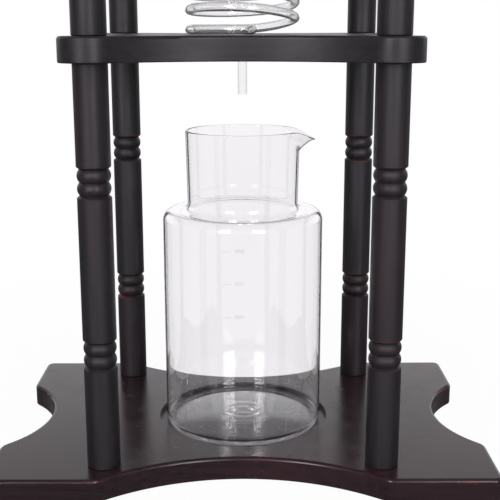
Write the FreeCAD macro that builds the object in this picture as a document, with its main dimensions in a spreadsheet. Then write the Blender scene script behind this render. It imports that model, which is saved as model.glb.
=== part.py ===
import FreeCAD, Part
import math
import os
from types import SimpleNamespace

import Sketcher
from FreeCAD import Vector

# Cold drip coffee tower, in millimetres: origin under the middle of the base on the table,
# +Z up, front towards -Y. A wooden stand holds a water globe with a drip valve, a glass
# brewer, a cooling coil and a carafe, one above the other on the Z axis.

DIMENSIONS = {
    # stand: the posts set out everything else
    "post_across": 116, "post_along": 110.8, "post_radius": 13.75, "post_length": 330,
    "board_thickness": 20, "edge_round": 3, "under_round": 1,
    # base board and its feet
    "base_beyond_side": 95.6, "base_beyond_front": 31.7, "ear_front": 93, "ear_side": 70,
    "recess_margin": 21.4, "side_hollow": 31, "ear_corner": 7, "front_blend": 15,
    "side_blend": 13, "recess_gap": 6.6, "recess_depth": 4,
    "foot_height": 3, "foot_radius": 12, "foot_inset": 25,
    "foot_screw_radius": 2, "foot_head_radius": 4, "foot_head_height": 1.2, "foot_screw_depth": 12,
    # turning of the posts
    "post_chamfer": 0.8, "bead_above_foot": 97.3, "bead_below_head": 91.8, "bead_pitch": 10.35,
    "bead_sink": 0.3, "groove_depth": 2.3, "groove_flank": 2,
    # shelves
    "lobe_margin": 10.8, "shelf_front_dip": 16.8, "shelf_side_dip": 11, "shelf_round": 2.5,
    "drip_hole_gap": 6, "globe_hole": 55, "hole_round": 3,
    # threaded fasteners, shown without their threads
    "insert_radius": 6, "insert_length": 16, "stud_radius": 4, "stud_reach": 14,
    "stud_tip_space": 3, "thread_gap": 0.05, "hole_gap": 0.3,
    "bolt_head_radius": 6.5, "bolt_head_height": 5, "socket_radius": 2.9, "socket_depth": 3,
    "washer_radius": 8, "washer_thickness": 1.6, "counterbore_gap": 0.5, "bolt_sink": 0.9,
    # finials on the top shelf
    "finial_height": 32, "finial_foot": 5, "finial_waist": 4.25, "finial_waist_height": 8,
    # carafe
    "seat_gap": 0.1, "carafe_radius": 71.7, "carafe_wall": 2.2, "carafe_floor": 3.6,
    "carafe_punt": 4, "carafe_heel": 5.7, "carafe_shoulder": 200.9, "carafe_corner": 10,
    "shoulder_width": 22.5, "neck_height": 70.3, "neck_flare": 1.6, "neck_blend": 6,
    "beak_reach": 26, "beak_rise": 18.6, "beak_radius": 20, "beak_root_radius": 1.2,
    "beak_inner_shift": 3.1, "beak_inner_less": 1.1, "beak_slope_back": 19.8, "beak_drop": 0.257,
    # glass coil
    "tube_radius": 4, "tube_wall": 1, "coil_radius": 45.6, "coil_pitch": 13.5, "coil_turns": 10,
    "coil_end_drop": 9.5, "coil_tilt": 5, "coil_seat_gap": 0.3, "tube_bend": 10, "drip_reach": 31.7,
    "funnel_stem": 16, "funnel_radius": 28, "funnel_cone": 20, "funnel_cup": 20,
    "funnel_wall": 1.6,
    # brewer, whose cone stands in the middle shelf at 45 degrees, and its filter
    "glass_gap": 0.3, "brewer_radius": 55, "brewer_wall": 2.5, "brewer_straight": 185,
    "brewer_seat_step": 13, "brewer_outlet": 6, "outlet_length": 26, "rim_bead": 1.2,
    "brewer_blend": 8, "outlet_blend": 4,
    "seal_gap": 2.5, "seal_width": 6, "filter_thickness": 5, "filter_lip": 1.5,
    "filter_hole": 1.25, "filter_ring_step": 8, "filter_rings": 4,
    # water globe
    "globe_radius": 86, "globe_wall": 2.5, "mouth_radius": 46, "mouth_height": 12,
    "mouth_lip": 2.5, "mouth_blend": 4, "boss_radius": 15, "boss_drop": 2, "boss_land": 13,
    # drip valve
    "tail_radius": 6, "tail_gap": 0.2, "tail_spare": 3, "rubber_thickness": 2,
    "inner_washer_radius": 12, "nut_radius": 10, "nut_height": 6,
    "flange_radius": 13, "flange_height": 3, "barrel_radius": 9, "barrel_height": 31,
    "nozzle_radius": 4, "nozzle_root_radius": 6, "nozzle_length": 16,
    "inlet_radius": 2, "outlet_radius": 1.5, "port_radius": 1.15, "port_length": 3,
    "spindle_drop": 20, "spindle_radius": 3, "needle_radius": 1, "chamber_room": 4,
    "side_boss_radius": 6.5, "side_boss_length": 18, "gland_radius": 9, "gland_length": 8,
    "packing_length": 3, "run_gap": 0.05, "knob_radius": 11, "knob_length": 12,
    "knob_gap": 2, "knob_face": 2, "flute_radius": 2.4, "knob_flutes": 16,
    "knob_screw_radius": 1.5, "knob_screw_length": 9,
    # globe lid
    "lid_overhang": 4, "lid_thickness": 10, "lid_rebate": 5, "lid_gap": 0.6, "lid_round": 3,
    "lid_knob_height": 26, "lid_knob_radius": 11, "lid_knob_neck": 6, "lid_knob_foot": 9,
    "lid_knob_foot_height": 1.5, "lid_knob_cove": 5,
    "lid_screw_radius": 2, "lid_screw_head": 4, "lid_screw_sink": 2.5, "lid_screw_length": 22,
}
CUT_PAST = 1  # how far a cut runs past the solid it leaves
COIL_END_ANGLE = 267.4  # where the coil's lowest turn leaves for the axis, from +X
COIL_LEVEL_PART = 177  # degrees of the lowest turn that lie level on the shelf
COIL_QUICK_PART = 90  # degrees over which the coil then climbs by its end drop
COIL_TILT_PARTS = ((177, 357), (2520, 3600))  # where the turns come to lean back, and level out
COIL_STEP = 22.5

doc = FreeCAD.newDocument("cold_drip_tower")
sheet = doc.addObject("Spreadsheet::Sheet", "Sizes")
for row, (alias, number) in enumerate(DIMENSIONS.items(), start=1):
    sheet.set(f"A{row}", alias)
    sheet.set(f"B{row}", str(number))
    sheet.setAlias(f"B{row}", alias)
doc.recompute()


class Size:
    """A length that knows its number and the sheet expression that gives it."""

    def __init__(self, value, text):
        self.value = value
        self.text = text

    def __add__(self, other):
        other = as_size(other)
        return Size(self.value + other.value, f"({self.text} + {other.text})")

    def __sub__(self, other):
        other = as_size(other)
        return Size(self.value - other.value, f"({self.text} - {other.text})")

    def __mul__(self, other):
        other = as_size(other)
        return Size(self.value * other.value, f"({self.text} * {other.text})")

    def __truediv__(self, other):
        other = as_size(other)
        return Size(self.value / other.value, f"({self.text} / {other.text})")

    def __neg__(self):
        return self * -1

    def __radd__(self, other):
        return as_size(other) + self

    def __rsub__(self, other):
        return as_size(other) - self

    def __rmul__(self, other):
        return self * other

    def root(self):
        return Size(math.sqrt(self.value), f"sqrt({self.text})")


def as_size(number):
    return number if isinstance(number, Size) else Size(number, str(number))


nodes = {}
d = SimpleNamespace(**{alias: Size(sheet.get(alias), f"Sizes.{alias}") for alias in DIMENSIONS})
SQRT_TWO = math.sqrt(2)


# ---------------------------------------------------------------- drawing helpers

def bind(item, path, size):
    """Sets a property of an object from a size, by expression."""
    item.setExpression(path, as_size(size).text)


def as_node(item, name):
    """Lists an object as one of the tower's own pieces, under its name."""
    item.Label = name
    nodes[name] = item
    return item


def new_body(name):
    body = doc.addObject("PartDesign::Body", name)
    body.AllowCompound = True
    return as_node(body, name)


def place(item, across, along, up):
    for axis, size in zip("xyz", (across, along, up)):
        bind(item, f"Placement.Base.{axis}", size)


def new_sketch(body, name, role="XY_Plane", level=0):
    """Attaches a sketch to one of the body's own origin planes, raised to a level."""
    sketch = body.newObject("Sketcher::SketchObject", name)
    plane = next(item for item in body.Origin.OriginFeatures if item.Role == role)
    sketch.AttachmentSupport = (plane, [""])
    sketch.MapMode = "FlatFace"
    bind(sketch, "AttachmentOffset.Base.z", level)
    return sketch


def fix_point(sketch, curve, end, point):
    """Pins one end of a curve (3 is a centre) to its two coordinates."""
    for kind, axis_id, size in (("DistanceX", -2, point[0]), ("DistanceY", -1, point[1])):
        size = as_size(size)
        if size.text == "0":
            sketch.addConstraint(Sketcher.Constraint("PointOnObject", curve, end, axis_id))
        else:
            index = sketch.addConstraint(Sketcher.Constraint(kind, curve, end, size.value))
            bind(sketch, f"Constraints[{index}]", size)


def fix_radius(sketch, curve, radius):
    index = sketch.addConstraint(Sketcher.Constraint("Radius", curve, as_size(radius).value))
    bind(sketch, f"Constraints[{index}]", radius)


def arc_between(start, finish, radius, turn):
    """The short arc of a radius from start to finish, turning left or right on the way."""
    chord = finish - start
    side = 1 if turn == "left" else -1
    normal = Vector(-chord.y, chord.x, 0).normalize() * side
    centre = (start + finish) * 0.5 + normal * math.sqrt(radius ** 2 - (chord.Length / 2) ** 2)
    first, last = (start, finish) if turn == "left" else (finish, start)
    angles = [math.atan2(p.y - centre.y, p.x - centre.x) for p in (first, last)]
    return Part.ArcOfCircle(Part.Circle(centre, Vector(0, 0, 1), radius), *angles)


def draw_loop(sketch, points):
    """Draws a closed loop: (x, y) ends a line, (x, y, radius, turn) ends an arc."""
    spots = [Vector(as_size(p[0]).value, as_size(p[1]).value, 0) for p in points]
    curves = []
    for index, point in enumerate(points):
        start, finish = spots[index - 1], spots[index]
        if len(point) == 2:
            curve = sketch.addGeometry(Part.LineSegment(start, finish))
            curves.append((curve, 1, 2))
        else:
            radius, turn = point[2:]
            arc = arc_between(start, finish, as_size(radius).value, turn)
            curve = sketch.addGeometry(arc)
            fix_radius(sketch, curve, radius)
            curves.append((curve, 1, 2) if turn == "left" else (curve, 2, 1))
    for index, point in enumerate(points):
        before, after = curves[index], curves[(index + 1) % len(curves)]
        link = Sketcher.Constraint("Coincident", before[0], before[2], after[0], after[1])
        sketch.addConstraint(link)
        fix_point(sketch, before[0], before[2], point)


def draw_circles(sketch, centres, radius):
    for centre in centres:
        spot = Vector(as_size(centre[0]).value, as_size(centre[1]).value, 0)
        circle = Part.Circle(spot, Vector(0, 0, 1), as_size(radius).value)
        curve = sketch.addGeometry(circle)
        fix_point(sketch, curve, 3, centre)
        fix_radius(sketch, curve, radius)


def pad(body, sketch, name, length):
    feature = body.newObject("PartDesign::Pad", name)
    feature.Profile = sketch
    bind(feature, "Length", length)
    sketch.Visibility = False
    return feature


def cut_up(body, sketch, name, length):
    """Pockets a sketch upwards, along its own normal."""
    feature = body.newObject("PartDesign::Pocket", name)
    feature.Profile = sketch
    feature.Reversed = True
    bind(feature, "Length", length)
    return feature


def turn_profile(body, name, points, kind="PartDesign::Revolution"):
    """Turns a profile in X and Z about the Z axis, as a solid or as a groove."""
    sketch = new_sketch(body, name + "_profile", "XZ_Plane")
    draw_loop(sketch, points)
    feature = body.newObject(kind, name)
    feature.Profile = sketch
    feature.ReferenceAxis = (sketch, ["V_Axis"])
    feature.Angle = 360
    return feature


def round_edges(body, name, radius, chosen):
    """Rounds every edge of the body so far that the chosen test picks."""
    doc.recompute()
    base = body.Tip
    names = [f"Edge{n}" for n, edge in enumerate(base.Shape.Edges, start=1) if chosen(edge)]
    fillet = body.newObject("PartDesign::Fillet", name)
    fillet.Base = (base, names)
    bind(fillet, "Radius", radius)
    return fillet


def at_level(level, radius=None):
    """Picks flat edges at a level, or only circles of one radius there."""
    def chosen(edge):
        box = edge.BoundBox
        flat = abs(box.ZMin - level.value) < 0.01 and abs(box.ZMax - level.value) < 0.01
        if radius is None:
            return flat
        round_edge = isinstance(edge.Curve, Part.Circle)
        return flat and round_edge and abs(edge.Curve.Radius - radius.value) < 0.01
    return chosen


def upright_at(across, along):
    """Picks the upright edges at the four mirror images of a place."""
    def chosen(edge):
        box = edge.BoundBox
        middle = box.Center
        near = math.hypot(abs(middle.x) - across.value, abs(middle.y) - along.value) < 0.05
        return near and box.XLength < 0.01 and box.YLength < 0.01
    return chosen


def joined(name, items):
    whole = doc.addObject("Part::MultiFuse", name)
    whole.Shapes = items
    return whole


def dish_radius(half_chord, depth):
    """The radius of an arc from its half chord and its depth."""
    return (half_chord * half_chord + depth * depth) / (2 * depth)


def four_corners(across, along):
    return [(across, along), (-across, along), (-across, -along), (across, -along)]


def tube_rows(body, name, centres, low, height, outer, inner=None):
    """Pads equal round pieces at several centres, solid or bored."""
    sketch = new_sketch(body, name + "_sketch", level=low)
    draw_circles(sketch, centres, outer)
    if inner is not None:
        draw_circles(sketch, centres, inner)
    return pad(body, sketch, name, height)


def bore_rows(body, name, centres, low, height, radius):
    sketch = new_sketch(body, name + "_sketch", level=low)
    draw_circles(sketch, centres, radius)
    return cut_up(body, sketch, name, height)


# ---------------------------------------------------------------- levels and places

base_top = d.foot_height + d.board_thickness
storeys = {}
shelves = {}
level = base_top
for storey, shelf in (("lower", "lower"), ("middle", "middle"), ("upper", "top")):
    storeys[storey] = level
    shelves[shelf] = level + d.post_length
    level = shelves[shelf] + d.board_thickness
top_of_stand = level
post_spots = four_corners(d.post_across, d.post_along)
corner_names = ("back_right", "back_left", "front_left", "front_right")
base_across = d.post_across + d.base_beyond_side
base_along = d.post_along + d.base_beyond_front
foot_spots = four_corners(base_across - d.foot_inset, base_along - d.foot_inset)
recess_radius = d.carafe_radius + d.recess_gap
counterbore_depth = d.bolt_head_height + d.washer_thickness + d.bolt_sink
insert_bore = d.insert_radius + d.thread_gap
bore_depth = d.insert_length + d.stud_tip_space
stud_hole = d.stud_radius + d.hole_gap


# ---------------------------------------------------------------- base board

def make_base_plate():
    """An X-shaped board: four ears with straight edges, and hollow sides between them."""
    body = new_body("base_plate")
    across, along = base_across, base_along
    ear_x = across - d.ear_front
    ear_y = along - d.ear_side
    front_arc = dish_radius(ear_x, along - recess_radius - d.recess_margin)
    side_arc = dish_radius(ear_y, d.side_hollow)
    sketch = new_sketch(body, "base_outline", level=d.foot_height)
    draw_loop(sketch, [
        (-ear_x, -along), (ear_x, -along, front_arc, "right"), (across, -along),
        (across, -ear_y), (across, ear_y, side_arc, "right"), (across, along),
        (ear_x, along), (-ear_x, along, front_arc, "right"), (-across, along),
        (-across, ear_y), (-across, -ear_y, side_arc, "right"), (-across, -along),
    ])
    pad(body, sketch, "base_board", d.board_thickness)
    round_edges(body, "ear_corners", d.ear_corner, upright_at(across, along))
    round_edges(body, "front_blends", d.front_blend, upright_at(ear_x, along))
    round_edges(body, "side_blends", d.side_blend, upright_at(across, ear_y))
    round_edges(body, "base_top_round", d.edge_round, at_level(base_top))
    round_edges(body, "base_under_round", d.under_round, at_level(d.foot_height))
    bore_rows(body, "carafe_recess", [(0, 0)], base_top - d.recess_depth, d.recess_depth,
              recess_radius)
    bore_rows(body, "bolt_holes", post_spots, d.foot_height, d.board_thickness, stud_hole)
    bore_rows(body, "bolt_counterbores", post_spots, d.foot_height, counterbore_depth,
              d.washer_radius + d.counterbore_gap)
    bore_rows(body, "foot_pilot_holes", foot_spots, d.foot_height, d.foot_screw_depth,
              d.foot_screw_radius + d.thread_gap)


def make_feet():
    feet = new_body("rubber_feet")
    tube_rows(feet, "foot_pads", foot_spots, 0, d.foot_height, d.foot_radius,
              d.foot_screw_radius + d.thread_gap)
    bore_rows(feet, "foot_screw_seats", foot_spots, 0, d.foot_height / 2,
              d.foot_head_radius + d.thread_gap)
    screws = new_body("foot_screws")
    head_top = d.foot_height / 2
    tube_rows(screws, "foot_screw_heads", foot_spots, head_top - d.foot_head_height,
              d.foot_head_height, d.foot_head_radius)
    tube_rows(screws, "foot_screw_shanks", foot_spots, head_top,
              d.foot_screw_depth + d.foot_height / 2 - d.thread_gap, d.foot_screw_radius)


# ---------------------------------------------------------------- shelves

def make_shelf(name, hole_radius, hole_round):
    """A board with a round lobe at each post and hollow edges that flow from lobe to lobe."""
    low = shelves[name]
    high = low + d.board_thickness
    body = new_body("shelf_" + name)
    sketch = new_sketch(body, name + "_outline", level=low)
    draw_loop(sketch, shelf_outline())
    pad(body, sketch, name + "_board", d.board_thickness)
    round_edges(body, name + "_top_round", d.shelf_round, at_level(high))
    round_edges(body, name + "_under_round", d.under_round, at_level(low))
    bore_rows(body, name + "_stud_holes", post_spots, low, d.board_thickness, stud_hole)
    bore_rows(body, name + "_centre_hole", [(0, 0)], low, d.board_thickness, hole_radius)
    round_edges(body, name + "_hole_round", hole_round, at_level(high, hole_radius))


def shelf_outline():
    """Each hollow edge is an arc tangent to the two lobes beside it."""
    def hollow_arc(half_span, dip):
        return (half_span * half_span + dip * dip - lobe * lobe) / (2 * (lobe + dip))

    def touch(half_span, reach, dip, radius):
        share = lobe / (radius + lobe)
        return half_span * (1 - share), reach + share * (radius - dip)

    lobe = d.post_radius + d.lobe_margin
    front = hollow_arc(d.post_across, d.shelf_front_dip)
    side = hollow_arc(d.post_along, d.shelf_side_dip)
    front_x, front_y = touch(d.post_across, d.post_along, d.shelf_front_dip, front)
    side_y, side_x = touch(d.post_along, d.post_across, d.shelf_side_dip, side)
    return [
        (front_x, -front_y, front, "right"),
        (side_x, -side_y, lobe, "left"), (side_x, side_y, side, "right"),
        (front_x, front_y, lobe, "left"), (-front_x, front_y, front, "right"),
        (-side_x, side_y, lobe, "left"), (-side_x, -side_y, side, "right"),
        (-front_x, -front_y, lobe, "left"),
    ]


# ---------------------------------------------------------------- posts and fasteners

def bead_group(centre):
    """Two round beads between three grooves, with a flank to the shaft above and below."""
    groove = d.post_radius - d.groove_depth
    radius = dish_radius(d.bead_pitch / 2, d.groove_depth - d.bead_sink)
    return [
        (d.post_radius, centre - d.bead_pitch - d.groove_flank),
        (groove, centre - d.bead_pitch),
        (groove, centre, radius, "left"),
        (groove, centre + d.bead_pitch, radius, "left"),
        (d.post_radius, centre + d.bead_pitch + d.groove_flank),
    ]


def make_post(name, across, along, foot):
    body = new_body(name)
    shoulder = d.post_radius - d.post_chamfer
    turn_profile(body, name + "_turning", [
        (0, bore_depth), (insert_bore, bore_depth), (insert_bore, 0), (shoulder, 0),
        (d.post_radius, d.post_chamfer),
        *bead_group(d.bead_above_foot),
        *bead_group(d.post_length - d.bead_below_head),
        (d.post_radius, d.post_length - d.post_chamfer), (shoulder, d.post_length),
        (insert_bore, d.post_length), (insert_bore, d.post_length - bore_depth),
        (0, d.post_length - bore_depth),
    ])
    place(body, across, along, foot)


def make_finial(name, across, along):
    """A disc foot, a neck and a ball that ends in a soft point."""
    body = new_body(name)
    neck = d.post_radius - d.finial_waist
    ball = dish_radius(neck, d.finial_height - d.finial_waist_height)
    turn_profile(body, name + "_turning", [
        (0, bore_depth), (insert_bore, bore_depth), (insert_bore, 0),
        (d.post_radius - d.post_chamfer, 0), (d.post_radius, d.post_chamfer),
        (d.post_radius, d.finial_foot),
        (neck, d.finial_waist_height, d.finial_waist, "right"),
        (ball, d.finial_height - ball, ball, "left"),
        (0, d.finial_height, ball, "left"),
    ])
    place(body, across, along, top_of_stand)


def make_fasteners():
    inserts = new_body("post_inserts")
    for storey, foot in storeys.items():
        ends = {"foot": foot, "head": foot + d.post_length - d.insert_length}
        for end, low in ends.items():
            tube_rows(inserts, f"{storey}_{end}_inserts", post_spots, low, d.insert_length,
                      d.insert_radius, d.stud_radius + d.thread_gap)
    tube_rows(inserts, "finial_inserts", post_spots, top_of_stand, d.insert_length,
              d.insert_radius, d.stud_radius + d.thread_gap)
    studs = new_body("shelf_studs")
    for name, low in shelves.items():
        tube_rows(studs, f"{name}_studs", post_spots, low - d.stud_reach,
                  d.board_thickness + 2 * d.stud_reach, d.stud_radius)
    washers = new_body("base_washers")
    washer_low = d.foot_height + counterbore_depth - d.washer_thickness
    tube_rows(washers, "washers", post_spots, washer_low, d.washer_thickness,
              d.washer_radius, stud_hole)
    bolts = new_body("base_bolts")
    head_low = washer_low - d.bolt_head_height
    tube_rows(bolts, "bolt_heads", post_spots, head_low, d.bolt_head_height,
              d.bolt_head_radius)
    tube_rows(bolts, "bolt_shanks", post_spots, washer_low,
              base_top + d.stud_reach - washer_low, d.stud_radius)
    sockets = new_sketch(bolts, "bolt_sockets_sketch", level=head_low)
    for across, along in post_spots:
        draw_loop(sockets, hexagon(across, along, d.socket_radius))
    cut_up(bolts, sockets, "bolt_sockets", d.socket_depth)


def hexagon(across, along, radius):
    angles = [math.radians(60 * n) for n in range(6)]
    return [(across + radius * round(math.cos(a), 6), along + radius * round(math.sin(a), 6))
            for a in angles]


# ---------------------------------------------------------------- carafe

def make_carafe():
    """Straight glass body, flat shoulder, wide neck and a beak towards +X."""
    body = new_body("carafe")
    radius, wall, floor = d.carafe_radius, d.carafe_wall, d.carafe_floor
    heel, corner, shoulder = d.carafe_heel, d.carafe_corner, d.carafe_shoulder
    ring = radius - heel
    above = carafe_rim + CUT_PAST
    turn_profile(body, "carafe_outside", [
        (0, d.carafe_punt), (ring, 0, dish_radius(ring, d.carafe_punt), "right"),
        (radius, heel, heel, "left"), (radius, shoulder - corner),
        (radius - corner, shoulder, corner, "left"), (neck_foot + d.neck_blend, shoulder),
        (neck_foot, shoulder + d.neck_blend, d.neck_blend, "right"),
        (neck_top, carafe_rim), (0, carafe_rim),
    ])
    add_beak(body, "beak_outside", "PartDesign::AdditiveLoft", as_size(0), as_size(0))
    slope_start = neck_top - d.beak_slope_back
    slope_end = neck_top + d.beak_reach + CUT_PAST
    slope = new_sketch(body, "beak_slope_sketch", "XZ_Plane", -neck_top)
    draw_loop(slope, [
        (slope_start, carafe_rim),
        (slope_end, carafe_rim - (slope_end - slope_start) * d.beak_drop),
        (slope_end, above), (slope_start, above),
    ])
    cut_up(body, slope, "beak_slope", neck_top * 2)
    floor_ring = ring - wall
    turn_profile(body, "carafe_inside", [
        (0, d.carafe_punt + floor),
        (floor_ring, floor, dish_radius(floor_ring, d.carafe_punt), "right"),
        (radius - wall, floor + heel, heel, "left"), (radius - wall, shoulder - corner),
        (radius - corner, shoulder - wall, corner - wall, "left"),
        (neck_foot + d.neck_blend, shoulder - wall),
        (neck_foot - wall, shoulder + d.neck_blend, d.neck_blend + wall, "right"),
        (neck_top - wall, carafe_rim), (neck_top - wall, above), (0, above),
    ], "PartDesign::Groove")
    add_beak(body, "beak_inside", "PartDesign::SubtractiveLoft",
             d.beak_inner_shift, d.beak_inner_less)
    place(body, 0, 0, base_top - d.recess_depth + d.seat_gap)


neck_foot = d.carafe_radius - d.shoulder_width
neck_top = neck_foot + d.neck_flare
carafe_rim = d.carafe_shoulder + d.neck_height


def add_beak(body, name, kind, shift, less):
    """A slanted cone from a point on the neck to a circle level with the rim.

    The cone for the inside lies further back by the shift and is less wide."""
    root = new_sketch(body, name + "_root", level=carafe_rim - d.beak_rise)
    draw_circles(root, [(neck_top - d.beak_root_radius - shift / 2, 0)],
                 d.beak_root_radius - less / 2)
    rim = new_sketch(body, name + "_rim", level=carafe_rim)
    draw_circles(rim, [(neck_top + d.beak_reach - d.beak_radius - shift, 0)],
                 d.beak_radius - less)
    loft = body.newObject(kind, name)
    loft.Refine = False
    loft.Profile = root
    loft.Sections = [rim]


# ---------------------------------------------------------------- glass coil

def bend(start, corner, finish):
    """The arc that leaves start and reaches finish along lines that meet at the corner."""
    middle = (start + finish) * 0.5
    half_chord = (finish - start).Length / 2
    tangent = (corner - start).Length
    top = middle + (corner - middle) * (half_chord / (tangent + half_chord))
    return Part.Arc(start, top, finish).toShape()


def joined_bends(start, heading, finish, heading_there):
    """Two arcs that join two points smoothly along given headings."""
    chord = finish - start
    both = heading + heading_there
    sharpness = 2 * (1 - heading.dot(heading_there))
    along = chord.dot(both)
    reach = (math.sqrt(along ** 2 + sharpness * chord.dot(chord)) - along) / sharpness
    first_corner = start + heading * reach
    last_corner = finish - heading_there * reach
    middle = (first_corner + last_corner) * 0.5
    return [bend(start, first_corner, middle), bend(middle, last_corner, finish)]


def polar(radius, degrees, height):
    angle = math.radians(degrees)
    return Vector(radius * math.cos(angle), radius * math.sin(angle), height)


def coil_height(turned):
    """Height above the lowest, level turn after some degrees of winding, and its slope."""
    height, slope = coil_climb(turned)
    (start, leaning), (still, level) = COIL_TILT_PARTS
    lean, lean_slope = smooth_step(turned, start, leaning)
    fall, fall_slope = smooth_step(turned, still, level)
    share, share_slope = lean - fall, lean_slope - fall_slope
    ahead = math.radians(COIL_END_ANGLE - turned + 90)  # 0 at the front
    tilt = d.coil_tilt.value
    height += tilt * share * math.cos(ahead)
    slope += tilt * (share_slope * math.cos(ahead) + share * math.radians(1) * math.sin(ahead))
    return height, slope


def smooth_step(value, start, finish):
    """A smooth rise from 0 at the start to 1 at the finish, and its slope."""
    share = min(max((value - start) / (finish - start), 0), 1)
    return share ** 2 * (3 - 2 * share), 6 * share * (1 - share) / (finish - start)


def coil_climb(turned):
    """The climb of an even coil whose first turn lies level."""
    rate = d.coil_pitch.value / 360
    climb = turned - COIL_LEVEL_PART
    if climb <= 0:
        return 0, 0
    if climb >= COIL_QUICK_PART:
        return d.coil_end_drop.value + rate * (climb - COIL_QUICK_PART), rate
    share = climb / COIL_QUICK_PART
    rise = d.coil_end_drop.value
    end_slope = rate * COIL_QUICK_PART
    height = rise * (3 * share ** 2 - 2 * share ** 3) + end_slope * (share ** 3 - share ** 2)
    slope = rise * (6 * share - 6 * share ** 2) + end_slope * (3 * share ** 2 - 2 * share)
    return height, slope / COIL_QUICK_PART


def radial_entry(degrees, height, going_out):
    """The level run between the axis and the coil: its end on the axis, bend and joint."""
    bend_radius = d.tube_bend.value
    coil_radius = d.coil_radius.value
    centre_reach = coil_radius - bend_radius
    run = math.sqrt(centre_reach ** 2 - bend_radius ** 2)
    swing = math.degrees(math.asin(bend_radius / centre_reach))
    run_angle = degrees + swing if going_out else degrees - swing
    joint = polar(coil_radius, degrees, height)
    run_end = polar(run, run_angle, height)
    tangent = polar(1, degrees + 90 if going_out else degrees - 90, 0)
    reach = bend_radius * math.tan(math.radians(90 + swing) / 2)
    return run_end, joint + tangent * reach, joint, polar(1, run_angle, 0)


def coil_path():
    """Up from the drip end: axis, level run, climbing turns, level run, axis."""
    seat = shelves["lower"].value + d.board_thickness.value + d.coil_seat_gap.value
    level = seat + d.tube_radius.value
    drip_end = Vector(0, 0, shelves["lower"].value - d.drip_reach.value)
    run_end, corner, joint, outward = radial_entry(COIL_END_ANGLE, level, True)
    radius = d.tube_bend.value
    axis_low = Vector(0, 0, level)
    edges = [
        Part.LineSegment(drip_end, axis_low - Vector(0, 0, radius)).toShape(),
        bend(axis_low - Vector(0, 0, radius), axis_low, axis_low + outward * radius),
        Part.LineSegment(axis_low + outward * radius, run_end).toShape(),
        bend(run_end, corner, joint),
    ]
    here, heading = joint, polar(1, COIL_END_ANGLE - 90, 0)
    steps = round(360 * d.coil_turns.value / COIL_STEP)
    for number in range(1, steps + 1):
        turned = number * COIL_STEP
        angle = COIL_END_ANGLE - turned
        height, slope = coil_height(turned)
        if number == steps:
            slope = 0
        there = polar(d.coil_radius.value, angle, level + height)
        heading_there = polar(1, angle - 90, 0)
        heading_there.z = math.degrees(slope) / d.coil_radius.value
        heading_there.normalize()
        edges += joined_bends(here, heading, there, heading_there)
        here, heading = there, heading_there
    run_end, corner, joint, outward = radial_entry(angle, here.z, False)
    axis_high = Vector(0, 0, here.z)
    stem_end = Vector(0, 0, here.z + radius + d.funnel_stem.value)
    edges += [
        bend(joint, corner, run_end),
        Part.LineSegment(run_end, axis_high + outward * radius).toShape(),
        bend(axis_high + outward * radius, axis_high, axis_high + Vector(0, 0, radius)),
        Part.LineSegment(axis_high + Vector(0, 0, radius), stem_end).toShape(),
    ]
    return Part.Wire(edges), drip_end, stem_end


def make_coil():
    """A glass tube wound into a coil, with a funnel drawn on its upper end."""
    path, drip_end, stem_end = coil_path()
    rings = [Part.Wire(Part.makeCircle(radius, drip_end, Vector(0, 0, 1)))
             for radius in (d.tube_radius.value, d.tube_radius.value - d.tube_wall.value)]
    section = Part.makeFace(rings, "Part::FaceMakerBullseye")
    tube = doc.addObject("Part::Feature", "coil_tube")
    tube.Shape = path.makePipe(section)
    bore = d.tube_radius - d.tube_wall
    wall = d.funnel_wall
    rim = d.funnel_cone + d.funnel_cup
    funnel = doc.addObject("PartDesign::Body", "coil_funnel")
    turn_profile(funnel, "funnel_turning", [
        (bore, 0), (d.tube_radius, 0), (d.funnel_radius, d.funnel_cone), (d.funnel_radius, rim),
        (d.funnel_radius - wall, rim), (d.funnel_radius - wall, d.funnel_cone + wall / 2),
        (bore, wall),
    ])
    bind(funnel, "Placement.Base.z", stem_end.z)
    as_node(joined("drip_coil", [tube, funnel]), "drip_coil")


# ---------------------------------------------------------------- brewer and its filter

shelf_middle_top = shelves["middle"] + d.board_thickness
brewer_hole = d.brewer_radius - d.brewer_seat_step
hole_centre_r = brewer_hole + d.hole_round
brewer_corner = (shelf_middle_top - d.hole_round + (d.brewer_radius - hole_centre_r)
                 + (d.hole_round + d.glass_gap) * SQRT_TWO)
brewer_cone_foot = brewer_corner - (d.brewer_radius - d.brewer_outlet)
brewer_inner = d.brewer_radius - d.brewer_wall
inner_corner = brewer_corner + d.brewer_wall * (SQRT_TWO - 1)


def make_brewer():
    """A tall glass cylinder whose cone stands in the middle shelf's hole."""
    body = new_body("brewer")
    outlet_bore = d.brewer_outlet - d.brewer_wall
    outlet_end = brewer_cone_foot - d.outlet_length
    rim = brewer_corner + d.brewer_straight
    bead = d.rim_bead
    inner_foot = inner_corner - (brewer_inner - outlet_bore)
    turn_profile(body, "brewer_turning", [
        (outlet_bore, outlet_end), (d.brewer_outlet, outlet_end),
        (d.brewer_outlet, brewer_cone_foot), (d.brewer_radius, brewer_corner),
        (d.brewer_radius, rim - 3 * bead), (d.brewer_radius, rim - bead, bead, "left"),
        (d.brewer_radius, rim), (brewer_inner, rim), (brewer_inner, inner_corner),
        (outlet_bore, inner_foot),
    ])
    wall = d.brewer_wall
    round_edges(body, "brewer_corner_outside", d.brewer_blend,
                at_level(brewer_corner, d.brewer_radius))
    round_edges(body, "brewer_corner_inside", d.brewer_blend - wall,
                at_level(inner_corner, brewer_inner))
    round_edges(body, "outlet_outside", d.outlet_blend,
                at_level(brewer_cone_foot, d.brewer_outlet))
    round_edges(body, "outlet_inside", d.outlet_blend + wall, at_level(inner_foot, outlet_bore))


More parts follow.
